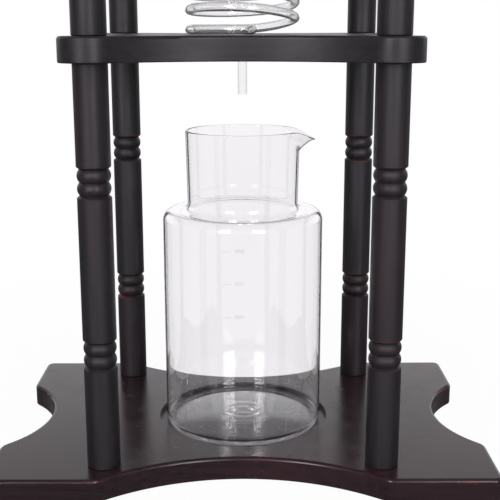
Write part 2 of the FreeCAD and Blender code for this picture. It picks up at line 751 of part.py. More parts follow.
def make_filter():
    """A perforated ceramic disc held by a silicone ring where the cone begins."""
    seal_low = inner_corner - d.seal_gap + d.glass_gap * SQRT_TWO
    seal_radius = brewer_inner - d.seal_gap
    filter_radius = seal_radius - d.seal_width
    lip = d.filter_lip
    groove = filter_radius + d.run_gap
    groove_low = seal_low + lip
    groove_high = groove_low + d.filter_thickness + 2 * d.run_gap
    seal = new_body("filter_seal")
    turn_profile(seal, "seal_turning", [
        (filter_radius - lip, seal_low), (seal_radius, seal_low),
        (seal_radius, groove_high + lip), (filter_radius - lip, groove_high + lip),
        (filter_radius - lip, groove_high), (groove, groove_high),
        (groove, groove_low), (filter_radius - lip, groove_low),
    ])
    plate = new_body("filter_plate")
    plate_low = groove_low + d.run_gap
    tube_rows(plate, "filter_disc", [(0, 0)], plate_low, d.filter_thickness, filter_radius)
    holes = [(0, 0)]
    for ring in range(1, round(d.filter_rings.value) + 1):
        reach = d.filter_ring_step * ring
        for number in range(6 * ring):
            angle = 2 * math.pi * (number + 0.5) / (6 * ring)
            holes.append((reach * round(math.cos(angle), 6), reach * round(math.sin(angle), 6)))
    bore_rows(plate, "filter_holes", holes, plate_low, d.filter_thickness, d.filter_hole)


# ---------------------------------------------------------------- water globe and its lid

shelf_top_top = shelves["top"] + d.board_thickness
touch_reach = d.globe_radius + d.hole_round + d.glass_gap
touch_radius = d.globe_hole + d.hole_round
globe_centre = (shelf_top_top - d.hole_round
                + (touch_reach * touch_reach - touch_radius * touch_radius).root())
boss_low = globe_centre - d.globe_radius - d.boss_drop


def sphere_height(radius, reach):
    return (radius * radius - reach * reach).root()


valve_hole = d.tail_radius + d.tail_gap
lid_radius = d.mouth_radius + d.lid_overhang
mouth_low = globe_centre + sphere_height(d.globe_radius, d.mouth_radius)
globe_rim = mouth_low + d.mouth_height
globe_inner = d.globe_radius - d.globe_wall
mouth_inner = d.mouth_radius - d.globe_wall
globe_floor = globe_centre - sphere_height(globe_inner, d.boss_land)


def make_globe():
    body = new_body("water_globe")
    turn_profile(body, "globe_turning", [
        (valve_hole, boss_low), (d.boss_radius, boss_low),
        (d.boss_radius, globe_centre - sphere_height(d.globe_radius, d.boss_radius)),
        (d.mouth_radius, mouth_low, d.globe_radius, "left"),
        (d.mouth_radius, globe_rim - d.mouth_lip),
        (d.mouth_radius + d.mouth_lip, globe_rim - d.mouth_lip),
        (d.mouth_radius + d.mouth_lip, globe_rim), (mouth_inner, globe_rim),
        (mouth_inner, globe_centre + sphere_height(globe_inner, mouth_inner)),
        (d.boss_land, globe_floor, globe_inner, "right"), (valve_hole, globe_floor),
    ])
    round_edges(body, "mouth_outside", d.mouth_blend, at_level(mouth_low, d.mouth_radius))
    mouth_low_inside = globe_centre + sphere_height(globe_inner, mouth_inner)
    round_edges(body, "mouth_inside", d.mouth_blend + d.globe_wall,
                at_level(mouth_low_inside, mouth_inner))


def make_lid():
    """A turned wooden lid with a rebate in the globe's mouth, and its knob."""
    screw_bore = d.lid_screw_radius + d.thread_gap
    head_bore = d.lid_screw_head + d.hole_gap
    under = globe_rim - d.lid_rebate
    lid_top = globe_rim + d.lid_thickness
    edge = d.lid_round
    rebate = mouth_inner - d.lid_gap
    lid = new_body("globe_lid")
    turn_profile(lid, "lid_turning", [
        (head_bore, under), (rebate, under), (rebate, globe_rim), (lid_radius, globe_rim),
        (lid_radius, lid_top - edge), (lid_radius - edge, lid_top, edge, "left"),
        (screw_bore, lid_top), (screw_bore, under + d.lid_screw_sink),
        (head_bore, under + d.lid_screw_sink),
    ])
    knob = new_body("lid_knob")
    knob_top = lid_top + d.lid_knob_height
    ball = d.lid_knob_radius
    middle = knob_top - ball
    waist = middle - sphere_height(ball, d.lid_knob_neck)
    bore_top = under + d.lid_screw_sink + d.lid_screw_length + d.hole_gap
    turn_profile(knob, "lid_knob_turning", [
        (screw_bore, lid_top), (d.lid_knob_foot, lid_top),
        (d.lid_knob_foot, lid_top + d.lid_knob_foot_height),
        (d.lid_knob_neck, waist, d.lid_knob_cove, "right"),
        (ball, middle, ball, "left"), (0, knob_top, ball, "left"),
        (0, bore_top), (screw_bore, bore_top),
    ])
    screw = new_body("lid_screw")
    tube_rows(screw, "lid_screw_head", [(0, 0)], under + d.lid_screw_sink - d.lid_screw_radius,
              d.lid_screw_radius, d.lid_screw_head)
    tube_rows(screw, "lid_screw_shank", [(0, 0)], under + d.lid_screw_sink,
              d.lid_screw_length, d.lid_screw_radius)


# ---------------------------------------------------------------- drip valve

flange_top = boss_low - d.rubber_thickness
barrel_top = flange_top - d.flange_height
spindle_level = barrel_top - d.spindle_drop
inner_washer_low = globe_floor
nut_low = inner_washer_low + d.rubber_thickness
tail_top = nut_low + d.nut_height + d.tail_spare


def level_cylinder(name, radius, first, length, height=None):
    """A cylinder along Y that starts at a distance in front of the axis and runs forwards."""
    item = doc.addObject("Part::Cylinder", name)
    bind(item, "Radius", radius)
    bind(item, "Height", length)
    item.Placement.Rotation = FreeCAD.Rotation(Vector(1, 0, 0), 90)
    bind(item, "Placement.Base.y", -as_size(first))
    bind(item, "Placement.Base.z", spindle_level if height is None else height)
    return item


def upright_cylinder(name, radius, low, height, forward=0):
    item = doc.addObject("Part::Cylinder", name)
    bind(item, "Radius", radius)
    bind(item, "Height", height)
    bind(item, "Placement.Base.y", -as_size(forward))
    bind(item, "Placement.Base.z", low)
    return item


def cut_from(name, solid, tools):
    """Takes the tools out of the solid and lists what is left as a piece."""
    holes = tools[0] if len(tools) == 1 else joined(name + "_holes", tools)
    part = doc.addObject("Part::Cut", name)
    part.Base = solid
    part.Tool = holes
    return as_node(part, name)


def make_valve_body():
    """Tail, flange, barrel and nozzle on the Z axis, and a boss for the spindle in front."""
    barrel_low = barrel_top - d.barrel_height
    nozzle = doc.addObject("Part::Cone", "valve_nozzle")
    bind(nozzle, "Radius1", d.nozzle_radius)
    bind(nozzle, "Radius2", d.nozzle_root_radius)
    bind(nozzle, "Height", d.nozzle_length)
    bind(nozzle, "Placement.Base.z", barrel_low - d.nozzle_length)
    solid = joined("valve_casting", [
        upright_cylinder("valve_tail", d.tail_radius, flange_top, tail_top - flange_top),
        upright_cylinder("valve_flange", d.flange_radius, barrel_top, d.flange_height),
        upright_cylinder("valve_barrel", d.barrel_radius, barrel_low, d.barrel_height),
        nozzle,
        level_cylinder("valve_boss", d.side_boss_radius, 0, d.side_boss_length),
    ])
    cross_level = spindle_level + d.spindle_radius + 2 * d.outlet_radius
    down_way = d.port_length + d.outlet_radius + d.run_gap
    cross_start = -d.inlet_radius / 2
    outlet_top = spindle_level + d.outlet_radius + d.port_radius
    cut_from("valve_body", solid, [
        upright_cylinder("valve_inlet", d.inlet_radius, cross_level, tail_top - cross_level),
        level_cylinder("valve_cross_way", d.outlet_radius, cross_start,
                       down_way + 2 * d.outlet_radius - cross_start, cross_level),
        upright_cylinder("valve_down_way", d.port_radius, spindle_level,
                         cross_level - spindle_level, down_way),
        level_cylinder("valve_chamber", d.spindle_radius + d.run_gap, d.port_length,
                       d.side_boss_length - d.port_length),
        level_cylinder("valve_port", d.port_radius, 0, d.port_length),
        upright_cylinder("valve_outlet", d.outlet_radius, barrel_low - d.nozzle_length,
                         outlet_top - barrel_low + d.nozzle_length),
    ])


def make_valve_trim():
    """Gland nut and packing round the spindle, and what clamps the valve in the globe."""
    spindle_bore = d.spindle_radius + d.run_gap
    boss_end = d.side_boss_length
    ring = level_cylinder("packing_ring", d.side_boss_radius - d.run_gap, boss_end,
                          d.packing_length)
    cut_from("valve_packing", ring, [
        level_cylinder("packing_bore", spindle_bore, boss_end, d.packing_length)])
    gland = new_body("valve_gland")
    sketch = new_sketch(gland, "gland_outline", "XZ_Plane", boss_end)
    draw_loop(sketch, hexagon(as_size(0), spindle_level, d.gland_radius))
    pad(gland, sketch, "gland_hexagon", d.gland_length)
    for name, length, radius in (("gland_bore", d.gland_length, spindle_bore),
                                 ("gland_seat", d.packing_length, d.side_boss_radius)):
        hole = new_sketch(gland, name + "_sketch", "XZ_Plane", boss_end)
        draw_circles(hole, [(0, spindle_level)], radius)
        cut_up(gland, hole, name, length)
    for name, low, radius in (("outer_washer", flange_top, d.flange_radius),
                              ("inner_washer", inner_washer_low, d.inner_washer_radius)):
        washer = new_body(name)
        tube_rows(washer, name + "_ring", [(0, 0)], low, d.rubber_thickness, radius,
                  valve_hole)
    nut = new_body("valve_nut")
    outline = new_sketch(nut, "nut_outline", level=nut_low)
    draw_loop(outline, hexagon(as_size(0), as_size(0), d.nut_radius))
    draw_circles(outline, [(0, 0)], d.tail_radius + d.thread_gap)
    pad(nut, outline, "nut_block", d.nut_height)


def make_valve_handle():
    """The needle spindle, its fluted knob and the screw that holds the knob."""
    knob_back = d.side_boss_length + d.gland_length + d.knob_gap
    knob_front = knob_back + d.knob_length
    needle_end = d.outlet_radius
    screw_bore = d.knob_screw_radius + d.run_gap
    shaft_start = d.port_length + d.chamber_room
    shaft_end = knob_front - d.knob_face
    cut_from("valve_spindle", joined("spindle_rod", [
        level_cylinder("spindle_shaft", d.spindle_radius, shaft_start, shaft_end - shaft_start),
        level_cylinder("spindle_needle", d.needle_radius, needle_end, shaft_start - needle_end),
    ]), [level_cylinder("spindle_thread", screw_bore, shaft_end - d.knob_screw_length,
                        d.knob_screw_length)])
    knob = new_body("valve_knob")
    sketch = new_sketch(knob, "knob_outline", "XZ_Plane", knob_back)
    draw_loop(sketch, fluted_outline())
    pad(knob, sketch, "knob_block", d.knob_length)
    for name, length, radius in (
            ("knob_screw_bore", d.knob_length, screw_bore),
            ("knob_shaft_bore", d.knob_length - d.knob_face, d.spindle_radius + d.run_gap)):
        hole = new_sketch(knob, name + "_sketch", "XZ_Plane", knob_back)
        draw_circles(hole, [(0, spindle_level)], radius)
        cut_up(knob, hole, name, length)
    shank_start = knob_front - d.knob_screw_length
    as_node(joined("knob_screw", [
        level_cylinder("knob_screw_head", d.spindle_radius, knob_front, d.knob_face),
        level_cylinder("knob_screw_shank", d.knob_screw_radius, shank_start,
                       d.knob_screw_length),
    ]), "knob_screw")


def fluted_outline():
    """A round knob with hollow flutes: two points for each flute and land."""
    points = []
    count = round(d.knob_flutes.value)
    for number in range(count):
        start = 2 * math.pi * number / count
        for share, hollow in ((0.0, False), (0.5, True)):
            angle = start + share * 2 * math.pi / count
            spot = (d.knob_radius * round(math.cos(angle), 6),
                    spindle_level + d.knob_radius * round(math.sin(angle), 6))
            points.append((*spot, d.knob_radius, "left") if hollow
                          else (*spot, d.flute_radius, "right"))
    return points


# ---------------------------------------------------------------- build everything

def build():
    make_base_plate()
    make_feet()
    for storey, foot in storeys.items():
        for corner, (across, along) in zip(corner_names, post_spots):
            make_post(f"post_{storey}_{corner}", across, along, foot)
    make_shelf("lower", d.tube_radius + d.drip_hole_gap, d.under_round)
    make_shelf("middle", brewer_hole, d.hole_round)
    make_shelf("top", d.globe_hole, d.hole_round)
    for corner, (across, along) in zip(corner_names, post_spots):
        make_finial(f"finial_{corner}", across, along)
    make_fasteners()
    make_carafe()
    make_coil()
    make_brewer()
    make_filter()
    make_globe()
    make_lid()
    make_valve_body()
    make_valve_trim()
    make_valve_handle()
    doc.recompute()


def check():
    """Stops on a failed feature, a pocket that cuts nothing, or a bad shape."""
    for item in doc.Objects:
        if "Invalid" in item.State or "Error" in item.State:
            raise RuntimeError(f"{item.Label} failed: {item.State}")
        if item.TypeId in ("PartDesign::Pocket", "PartDesign::Groove"):
            taken = item.BaseFeature.Shape.Volume - item.Shape.Volume
            if taken < 0.1:
                raise RuntimeError(f"{item.Label} cuts nothing")
    for name, item in nodes.items():
        if item.Shape.isNull() or not item.Shape.isValid() or item.Shape.Volume < 1:
            raise RuntimeError(f"{name} has a bad shape")


def export():
    for name, item in nodes.items():
        item.Shape.exportStep(f"parts/{name}.step")
        box = item.Shape.BoundBox
        print(f"{name}: {len(item.Shape.Solids)} solids, z {box.ZMin:.2f} to {box.ZMax:.2f}")


os.makedirs("parts", exist_ok=True)
build()
check()
export()
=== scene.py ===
import math

import bmesh
import bpy
from mathutils import Matrix, Vector


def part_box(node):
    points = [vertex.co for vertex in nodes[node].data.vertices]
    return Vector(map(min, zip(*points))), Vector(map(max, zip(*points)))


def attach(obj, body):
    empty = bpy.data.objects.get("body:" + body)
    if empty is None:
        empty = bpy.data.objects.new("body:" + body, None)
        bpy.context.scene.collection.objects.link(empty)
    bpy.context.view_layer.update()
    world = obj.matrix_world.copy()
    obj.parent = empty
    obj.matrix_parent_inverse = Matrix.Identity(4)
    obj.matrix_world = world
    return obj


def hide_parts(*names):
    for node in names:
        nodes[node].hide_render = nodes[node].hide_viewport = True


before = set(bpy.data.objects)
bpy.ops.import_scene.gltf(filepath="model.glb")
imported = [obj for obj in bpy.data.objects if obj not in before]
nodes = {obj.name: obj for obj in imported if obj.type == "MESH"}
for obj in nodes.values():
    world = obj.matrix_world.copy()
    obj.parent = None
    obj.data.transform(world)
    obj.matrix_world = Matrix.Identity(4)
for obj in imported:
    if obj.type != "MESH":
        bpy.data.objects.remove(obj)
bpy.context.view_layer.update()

# Cold drip coffee tower. The object's sizes are in millimetres and become metres where a mesh
# is made. The patterns of the finishes, the lights and the floor are in metres.
MM = 0.001


def foot_of(node):
    """The level of a node's lowest point, to a thousandth of a millimetre."""
    return round(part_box(node)[0].z / MM, 3)


def new_object(name, data):
    item = bpy.data.objects.new(name, data)
    bpy.context.scene.collection.objects.link(item)
    return item


def evaluated_mesh(item):
    """The plain mesh that an object comes to; the object itself is removed."""
    bpy.context.view_layer.update()
    ready = item.evaluated_get(bpy.context.evaluated_depsgraph_get())
    data = bpy.data.meshes.new_from_object(ready)
    bpy.data.objects.remove(item)
    return data


# ---------------------------------------------------------------- node helpers

WHITE = (1, 1, 1, 1)


def new_material(name):
    """A node material with only its output, for the finishes below to build on."""
    material = bpy.data.materials.new(name)
    material.use_nodes = True
    material.node_tree.nodes.clear()
    material.node_tree.nodes.new("ShaderNodeOutputMaterial")
    return material


def output_of(material):
    return next(n for n in material.node_tree.nodes if n.type == "OUTPUT_MATERIAL")


def fill(tree, socket, value):
    """Links a socket from another, or sets it to a plain value."""
    if isinstance(value, bpy.types.NodeSocket):
        tree.links.new(value, socket)
    else:
        socket.default_value = value


def add(tree, kind, inputs=None, **settings):
    """Adds a node: settings are its properties, inputs are numbers, colours or sockets."""
    node = tree.nodes.new(kind)
    for key, value in settings.items():
        setattr(node, key, value)
    for key, value in (inputs or {}).items():
        fill(tree, node.inputs[key], value)
    return node


def shade(hexcode):
    """A linear colour from the hex code that it shows on a screen, by the sRGB formula."""
    parts = [int(hexcode[i:i + 2], 16) / 255 for i in (0, 2, 4)]
    return (*[p / 12.92 if p <= 0.04045 else ((p + 0.055) / 1.055) ** 2.4 for p in parts], 1)


def maths(tree, operation, first, second=0.0, third=0.0, clamp=False):
    node = add(tree, "ShaderNodeMath", {0: first, 1: second, 2: third},
               operation=operation, use_clamp=clamp)
    return node.outputs[0]


def mix_value(tree, factor, first, second):
    return add(tree, "ShaderNodeMix", {0: factor, 2: first, 3: second}).outputs[0]


def mix_colour(tree, factor, first, second):
    return add(tree, "ShaderNodeMix", {0: factor, 6: first, 7: second},
               data_type="RGBA").outputs[2]


def ramp(tree, value, *stops):
    """A ramp through stops of a place and a colour, or a grey given as one number."""
    node = add(tree, "ShaderNodeValToRGB", {0: value})
    elements = node.color_ramp.elements
    while len(elements) < len(stops):
        elements.new(0.5)
    for element, (place, colour) in zip(elements, stops):
        element.position = place
        element.color = colour if isinstance(colour, tuple) else (colour,) * 3 + (1,)
    return node.outputs[0]


def smooth_range(tree, value, low, high, first=0.0, last=1.0):
    """Goes smoothly from first to last while the value goes from low to high."""
    return add(tree, "ShaderNodeMapRange", {0: value, 1: low, 2: high, 3: first, 4: last},
               interpolation_type="SMOOTHSTEP").outputs[0]


def stretched(tree, scale=(1, 1, 1)):
    """Object coordinates for a pattern, which a scale below 1 draws out along that axis."""
    coordinates = add(tree, "ShaderNodeTexCoord").outputs["Object"]
    return add(tree, "ShaderNodeMapping", {"Vector": coordinates, "Scale": scale}).outputs[0]


def parts_of(tree, vector):
    return add(tree, "ShaderNodeSeparateXYZ", {0: vector}).outputs


def noise(tree, vector, scale, detail, roughness=0.5, distortion=0.0):
    return add(tree, "ShaderNodeTexNoise", {
        "Vector": vector, "Scale": scale, "Detail": detail, "Roughness": roughness,
        "Distortion": distortion}).outputs[0]


def bumps(tree, height, strength, distance):
    return add(tree, "ShaderNodeBump", {
        "Strength": strength, "Distance": distance, "Height": height}).outputs[0]


def finish_with(material, shader):
    material.node_tree.links.new(shader, output_of(material).inputs["Surface"])
    return material


# ---------------------------------------------------------------- stained wood

GRAIN_SCALE = {"X": (0.045, 1, 1), "Z": (1, 1, 0.045)}
STREAKS, PORES, CLOUDS, RUBS, SHEENS = 240, 900, 8, 30, 40  # scales of the wood's patterns
CLOUD_STRETCH = 0.7  # how much of the grain's length the clouds in the stain have
STREAK_RELIEF, PORE_RELIEF = 0.6, 0.4
WOOD_IOR = 1.5
SATIN = (0.36, 0.48)  # least and most roughness
BARE_WOOD = "70282d"
BOARD_TONES = ("20161a", "2d1f23", "37262b", "42272e")  # dark, middle, light, thinly stained
POST_TONES = ("17151a", "221f23", "2c272b", "38242a")


def stained_wood(name, grain, rubbed, tones, gloss=SATIN):
    """Near-black satin stain over red-brown wood that shows where edges are rubbed."""
    material = new_material(name)
    tree = material.node_tree
    even, along = stretched(tree), stretched(tree, GRAIN_SCALE[grain])
    cloudy = stretched(tree, tuple(1 - CLOUD_STRETCH * (1 - s) for s in GRAIN_SCALE[grain]))
    streaks = noise(tree, along, STREAKS, detail=5, roughness=0.62, distortion=0.25)
    pores = noise(tree, along, PORES, detail=3, roughness=0.6)
    clouds = noise(tree, cloudy, CLOUDS, detail=3, roughness=0.55, distortion=0.4)
    rubs = noise(tree, even, RUBS, detail=5, roughness=0.65)
    dark, middle, light, thinned = (shade(tone) for tone in tones)
    stain = ramp(tree, streaks, (0.3, dark), (0.52, middle), (0.75, light))
    thin = ramp(tree, clouds, (0.5, 0.0), (0.72, 0.5))
    rub = maths(tree, "MULTIPLY", rubbed(tree), ramp(tree, rubs, (0.52, 0.0), (0.62, 1.0)))
    colour = mix_colour(tree, thin, stain, thinned)
    colour = mix_colour(tree, rub, colour, shade(BARE_WOOD))
    sheen = ramp(tree, noise(tree, even, SHEENS, detail=3), (0.3, gloss[0]), (0.7, gloss[1]))
    height = maths(tree, "MULTIPLY_ADD", streaks, STREAK_RELIEF,
                   maths(tree, "MULTIPLY", pores, PORE_RELIEF))
    surface = add(tree, "ShaderNodeBsdfPrincipled", {
        "Base Color": colour, "Roughness": sheen, "IOR": WOOD_IOR,
        "Normal": bumps(tree, height, strength=0.12, distance=0.0001)})
    return finish_with(material, surface.outputs[0])


WEAR_FROM, WEAR_FULL, MIDDLE_WEAR = 0.08, 0.17, 0.35  # a board wears most towards its ends
SHELF_WEAR = 0.25


def board_edges(tree):
    """1 on a board's upper rounded edge, which hands and cloths rub first."""
    normal = add(tree, "ShaderNodeNewGeometry").outputs["Normal"]
    tilt = parts_of(tree, normal)[2]
    edge = ramp(tree, tilt, (0.03, 0.0), (0.16, 1.0), (0.4, 0.6), (0.7, 0.0))
    aside = maths(tree, "ABSOLUTE", parts_of(tree, stretched(tree))[0])
    worn = smooth_range(tree, aside, WEAR_FROM, WEAR_FULL, first=MIDDLE_WEAR)
    return maths(tree, "MULTIPLY", edge, worn)


def shelf_edges(tree):
    """A little of the same wear, because nothing is slid over a shelf's edge."""
    return maths(tree, "MULTIPLY", board_edges(tree), SHELF_WEAR)


FIRST_FOOT = foot_of("post_lower_front_left")
STOREY = foot_of("post_middle_front_left") - FIRST_FOOT
BEAD_LINES = (97.3, 238.2)  # heights above a post's foot
SHOULDERS = ((12.6, 2.2), (5.2, 1.2))  # distance from the bead line, and width of the wear
FRONT_WEAR, FRONT_TO_BACK = 0.25, 0.05  # the front posts' share, and where it grows to 1


def post_shoulders(tree):
    """1 on the shoulders beside the beads of each turned post, more on the back posts."""
    place = parts_of(tree, stretched(tree))
    in_storey = maths(tree, "WRAP", maths(tree, "MULTIPLY", place[2], 1 / MM),
                      FIRST_FOOT + STOREY, FIRST_FOOT)
    worn = None
    for line in BEAD_LINES:
        off = maths(tree, "ABSOLUTE", maths(tree, "SUBTRACT", in_storey, FIRST_FOOT + line))
        for reach, width in SHOULDERS:
            away = maths(tree, "ABSOLUTE", maths(tree, "SUBTRACT", off, reach))
            near = maths(tree, "SUBTRACT", 1.0, maths(tree, "DIVIDE", away, width), clamp=True)
            worn = near if worn is None else maths(tree, "MAXIMUM", worn, near)
    return maths(tree, "MULTIPLY", worn, smooth_range(
        tree, place[1], -FRONT_TO_BACK, FRONT_TO_BACK, first=FRONT_WEAR))


# ---------------------------------------------------------------- glass, metal and mouldings

VESSEL_PAINTED_EDGE = ((0.72, 1.0), (0.85, 0.75), (0.94, 0.15))  # painted shade on the glass's outlines: how edge-on, what still passes
TUBE_PAINTED_EDGE = ((0.65, 1.0), (0.82, 0.5), (0.9, 0.05))
GLASS_IOR, GLASS_TINT, GLASS_DENSITY = 1.474, (0.42, 0.36, 0.5, 1), 3.0
RIPPLES, RIPPLE_SCALE = 20, (1, 1, 0.3)


def clear_glass(name, painted_edge):
    """Clear blown glass with slow ripples, and painted shade: it darkens where it turns edge-on.
    """
    material = new_material(name)
    tree = material.node_tree
    ripple = noise(tree, stretched(tree, RIPPLE_SCALE), RIPPLES, detail=2, roughness=0.4)
    facing = add(tree, "ShaderNodeLayerWeight", {"Blend": 0.5}).outputs["Facing"]
    surface = add(tree, "ShaderNodeBsdfPrincipled", {
        # painted shade: the colour darkens towards the glass's outlines, where it turns edge-on
        "Base Color": ramp(tree, facing, *painted_edge), "Roughness": 0.0, "IOR": GLASS_IOR,
        "Transmission Weight": 1.0,
        "Normal": bumps(tree, ripple, strength=0.06, distance=0.0005)})
    body = add(tree, "ShaderNodeVolumeAbsorption", {
        "Color": GLASS_TINT, "Density": GLASS_DENSITY})
    tree.links.new(body.outputs[0], output_of(material).inputs["Volume"])
    return finish_with(material, surface.outputs[0])


LINE_SCALE, WEAR_PATCHES = (0.2, 1, 1), 60
POLISHED, HANDLED = 0.8, 1.35  # shares of a metal's roughness
DULLED = 0.7  # share of its brightness that handled metal keeps


def turned_metal(name, colour, roughness, lines=1800.0):
    """Metal with fine turning lines, and patches dulled by hands."""
    material = new_material(name)
    tree = material.node_tree
    fine = noise(tree, stretched(tree, LINE_SCALE), lines, detail=2, roughness=0.6)
    wear = noise(tree, stretched(tree), WEAR_PATCHES, detail=3, roughness=0.6)
    gloss = ramp(tree, wear, (0.3, roughness * POLISHED), (0.75, roughness * HANDLED))
    clean = shade(colour)
    dull = (*[DULLED * part for part in clean[:3]], 1)
    tint = mix_colour(tree, ramp(tree, wear, (0.35, 0.0), (0.8, 0.5)), clean, dull)
    surface = add(tree, "ShaderNodeBsdfPrincipled", {
        "Base Color": tint, "Metallic": 1.0, "Roughness": gloss,
        "Normal": bumps(tree, fine, strength=0.12, distance=0.00005)})
    return finish_with(material, surface.outputs[0])


MOULDED_PATCHES = 55
SMOOTHEST, ROUGHEST = 0.85, 1.15  # shares of a moulding's roughness
GLOW_DEPTH = 0.004


def moulded(name, colour, second, roughness, grain=700.0, soft=0.0, alpha=1.0):
    """Rubber, silicone, fired clay or enamel: an even colour with a fine surface grain."""
    material = new_material(name)
    tree = material.node_tree
    even = stretched(tree)
    fine = noise(tree, even, grain, detail=3, roughness=0.6)
    patch = noise(tree, even, MOULDED_PATCHES, detail=3)
    tint = mix_colour(tree, ramp(tree, patch, (0.35, 0.0), (0.75, 1.0)), shade(colour),
                      shade(second))
    gloss = ramp(tree, fine, (0.3, roughness * SMOOTHEST), (0.7, roughness * ROUGHEST))
    surface = add(tree, "ShaderNodeBsdfPrincipled", {
        "Base Color": tint, "Roughness": gloss, "Subsurface Weight": soft,
        "Subsurface Radius": (GLOW_DEPTH,) * 3, "Alpha": alpha,
        "Normal": bumps(tree, fine, strength=0.2, distance=0.0001)})
    return finish_with(material, surface.outputs[0])


board_stain = stained_wood("board_stain", "X", board_edges, BOARD_TONES, (0.19, 0.29))
shelf_stain = stained_wood("shelf_stain", "X", shelf_edges, POST_TONES)
post_stain = stained_wood("post_stain", "Z", post_shoulders, POST_TONES, (0.44, 0.54))
turning_stain = stained_wood("turning_stain", "Z", board_edges, POST_TONES)
blown_glass = clear_glass("blown_glass", VESSEL_PAINTED_EDGE)
tube_glass = clear_glass("tube_glass", TUBE_PAINTED_EDGE)
polished_steel = turned_metal("polished_steel", "bdbcba", 0.2)
brushed_steel = turned_metal("brushed_steel", "9a9997", 0.42, lines=900.0)
zinc_plate = turned_metal("zinc_plate", "a9adb0", 0.32)
insert_brass = turned_metal("insert_brass", "b08d4a", 0.3)
foot_rubber = moulded("foot_rubber", "1b1b1c", "262627", 0.72)
seal_silicone = moulded("seal_silicone", "dcdad4", "e6e4df", 0.45, grain=300.0, soft=0.2)
filter_clay = moulded("filter_clay", "e7e3da", "d9d4c8", 0.6, grain=1200.0)
mark_enamel = moulded("mark_enamel", "dddce0", "cfced2", 0.5, alpha=0.2)

FINISHES = {
    board_stain: ["base_plate"],
    shelf_stain: ["shelf_lower", "shelf_middle", "shelf_top"],
    post_stain: [n for n in nodes if n.startswith("post_") and n != "post_inserts"],
    turning_stain: [n for n in nodes if n.startswith("finial_")] + ["globe_lid", "lid_knob"],
    polished_steel: ["valve_body", "valve_gland", "valve_nut", "valve_spindle"],
    brushed_steel: ["valve_knob", "knob_screw"],
    zinc_plate: ["base_bolts", "base_washers", "shelf_studs", "foot_screws", "lid_screw"],
    insert_brass: ["post_inserts"],
    foot_rubber: ["rubber_feet", "outer_washer", "inner_washer", "valve_packing"],
    seal_silicone: ["filter_seal"],
    filter_clay: ["filter_plate"],
    blown_glass: ["carafe", "brewer", "water_globe"],
    tube_glass: ["drip_coil"],
}
for finish, names in FINISHES.items():
    for name in names:
        for spot in nodes[name].material_slots:
            spot.material = finish


# ---------------------------------------------------------------- turned glass

ARC_STEP, SPHERE_STEP = math.radians(6), math.radians(2.5)  # one facet of a corner, of a globe
GLASS_SIDES = 144
ON_AXIS = 1e-6
SHARP_EDGE = math.radians(40)
RIM_SHARE = 0.49  # a rounded rim's radius in walls, under a half so that its arcs don't meet


def rounded(points):
    """A profile whose points are (reach, level), with a third number to round that corner."""
    path = []
    for index, point in enumerate(points):
        here = Vector(point[:2])
        if len(point) < 3:
            path.append(here)
            continue
        back = (Vector(points[index - 1][:2]) - here).normalized()
        on = (Vector(points[(index + 1) % len(points)][:2]) - here).normalized()
        half = back.angle(on) / 2
        centre = here + (back + on).normalized() * point[2] / math.sin(half)
        first = here + back * point[2] / math.tan(half) - centre
        sweep = math.pi - 2 * half
        side = 1 if back.cross(first) > 0 else -1
        steps = max(2, math.ceil(sweep / ARC_STEP))
        for step in range(steps + 1):
            path.append(centre + Matrix.Rotation(side * sweep * step / steps, 2) @ first)
    return path


def sphere_run(radius, centre, first, last):
    """Points of a sphere's profile between two reaches; the last is above the middle."""
    start, finish = math.asin(first / radius), math.pi - math.asin(last / radius)
    steps = math.ceil((finish - start) / SPHERE_STEP)
    angles = [start + (finish - start) * n / steps for n in range(steps + 1)]
    return [(radius * math.sin(a), centre - radius * math.cos(a)) for a in angles]


def turn(path, steps=GLASS_SIDES, closed=True, shape=None, mesh=None):
    """Turns a profile about the Z axis, in metres; shape moves (reach, angle, level)."""
    mesh = mesh or bmesh.new()
    rings = []
    for reach, level in path:
        if reach < ON_AXIS:
            rings.append([mesh.verts.new((0, 0, level * MM))] * steps)
            continue
        ring = []
        for step in range(steps):
            spot = (reach, 2 * math.pi * step / steps, level)
            across, angle, up = shape(*spot) if shape else spot
            ring.append(mesh.verts.new((across * math.cos(angle) * MM,
                                        across * math.sin(angle) * MM, up * MM)))
        rings.append(ring)
    for index in range(0 if closed else 1, len(rings)):
        below, ring = rings[index - 1], rings[index]
        if ring[0] is ring[1] and below[0] is below[1]:
            continue
        for step in range(steps):
            after = (step + 1) % steps
            corners = [below[step], below[after], ring[after], ring[step]]
            mesh.faces.new([c for n, c in enumerate(corners) if c is not corners[n - 1]])
    bmesh.ops.recalc_face_normals(mesh, faces=mesh.faces)
    return mesh


def piece(name, mesh, material):
    """An object from a bmesh, shaded smooth except over sharp edges."""
    data = bpy.data.meshes.new(name)
    mesh.to_mesh(data)
    mesh.free()
    data.materials.append(material)
    data.polygons.foreach_set("use_smooth", [True] * len(data.polygons))
    data.polygons.foreach_set("material_index", [0] * len(data.polygons))
    data.set_sharp_from_angle(angle=SHARP_EDGE)
    return new_object(name, data)


def glass_for(node, mesh, body, material=blown_glass):
    """A piece that stands for a glass node and rides on its body."""
    item = piece(node + "_glass", mesh, material)
    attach(item, body)
    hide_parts(node)


# ---------------------------------------------------------------- carafe

CARAFE_FOOT, CARAFE_SIDES = foot_of("carafe"), 240
RADIUS, WALL, SHOULDER, CORNER = 71.7, 2.2, 200.9, 10.0
FLOOR, PUNT, HEEL, INNER_HEEL = 3.6, 4.0, 5.7, 6.2  # the punt is the hollow underneath
NECK_FOOT, NECK_TOP, NECK_BLEND, RIM = 49.2, 50.8, 6.0, 271.2
BEAK_ROOT, BEAK_TIP = RIM - 18.6, 65.2
BEAK_BLUNT, BEAK_BLEND, BEAK_CROWDING = 0.03, 0.03, 0.5  # its tip, its root, its facets
NO_BEAK = 1e-3
BEAK_DROP, BEAK_DROP_START, BEAK_DROP_BLEND = 0.49, 48.0, 3.0
PONTIL_RINGS = ((7.3, 0.9, 1.2), (15.5, 0.6, 1.9), (22, 0.3, 3))  # reach, height, width

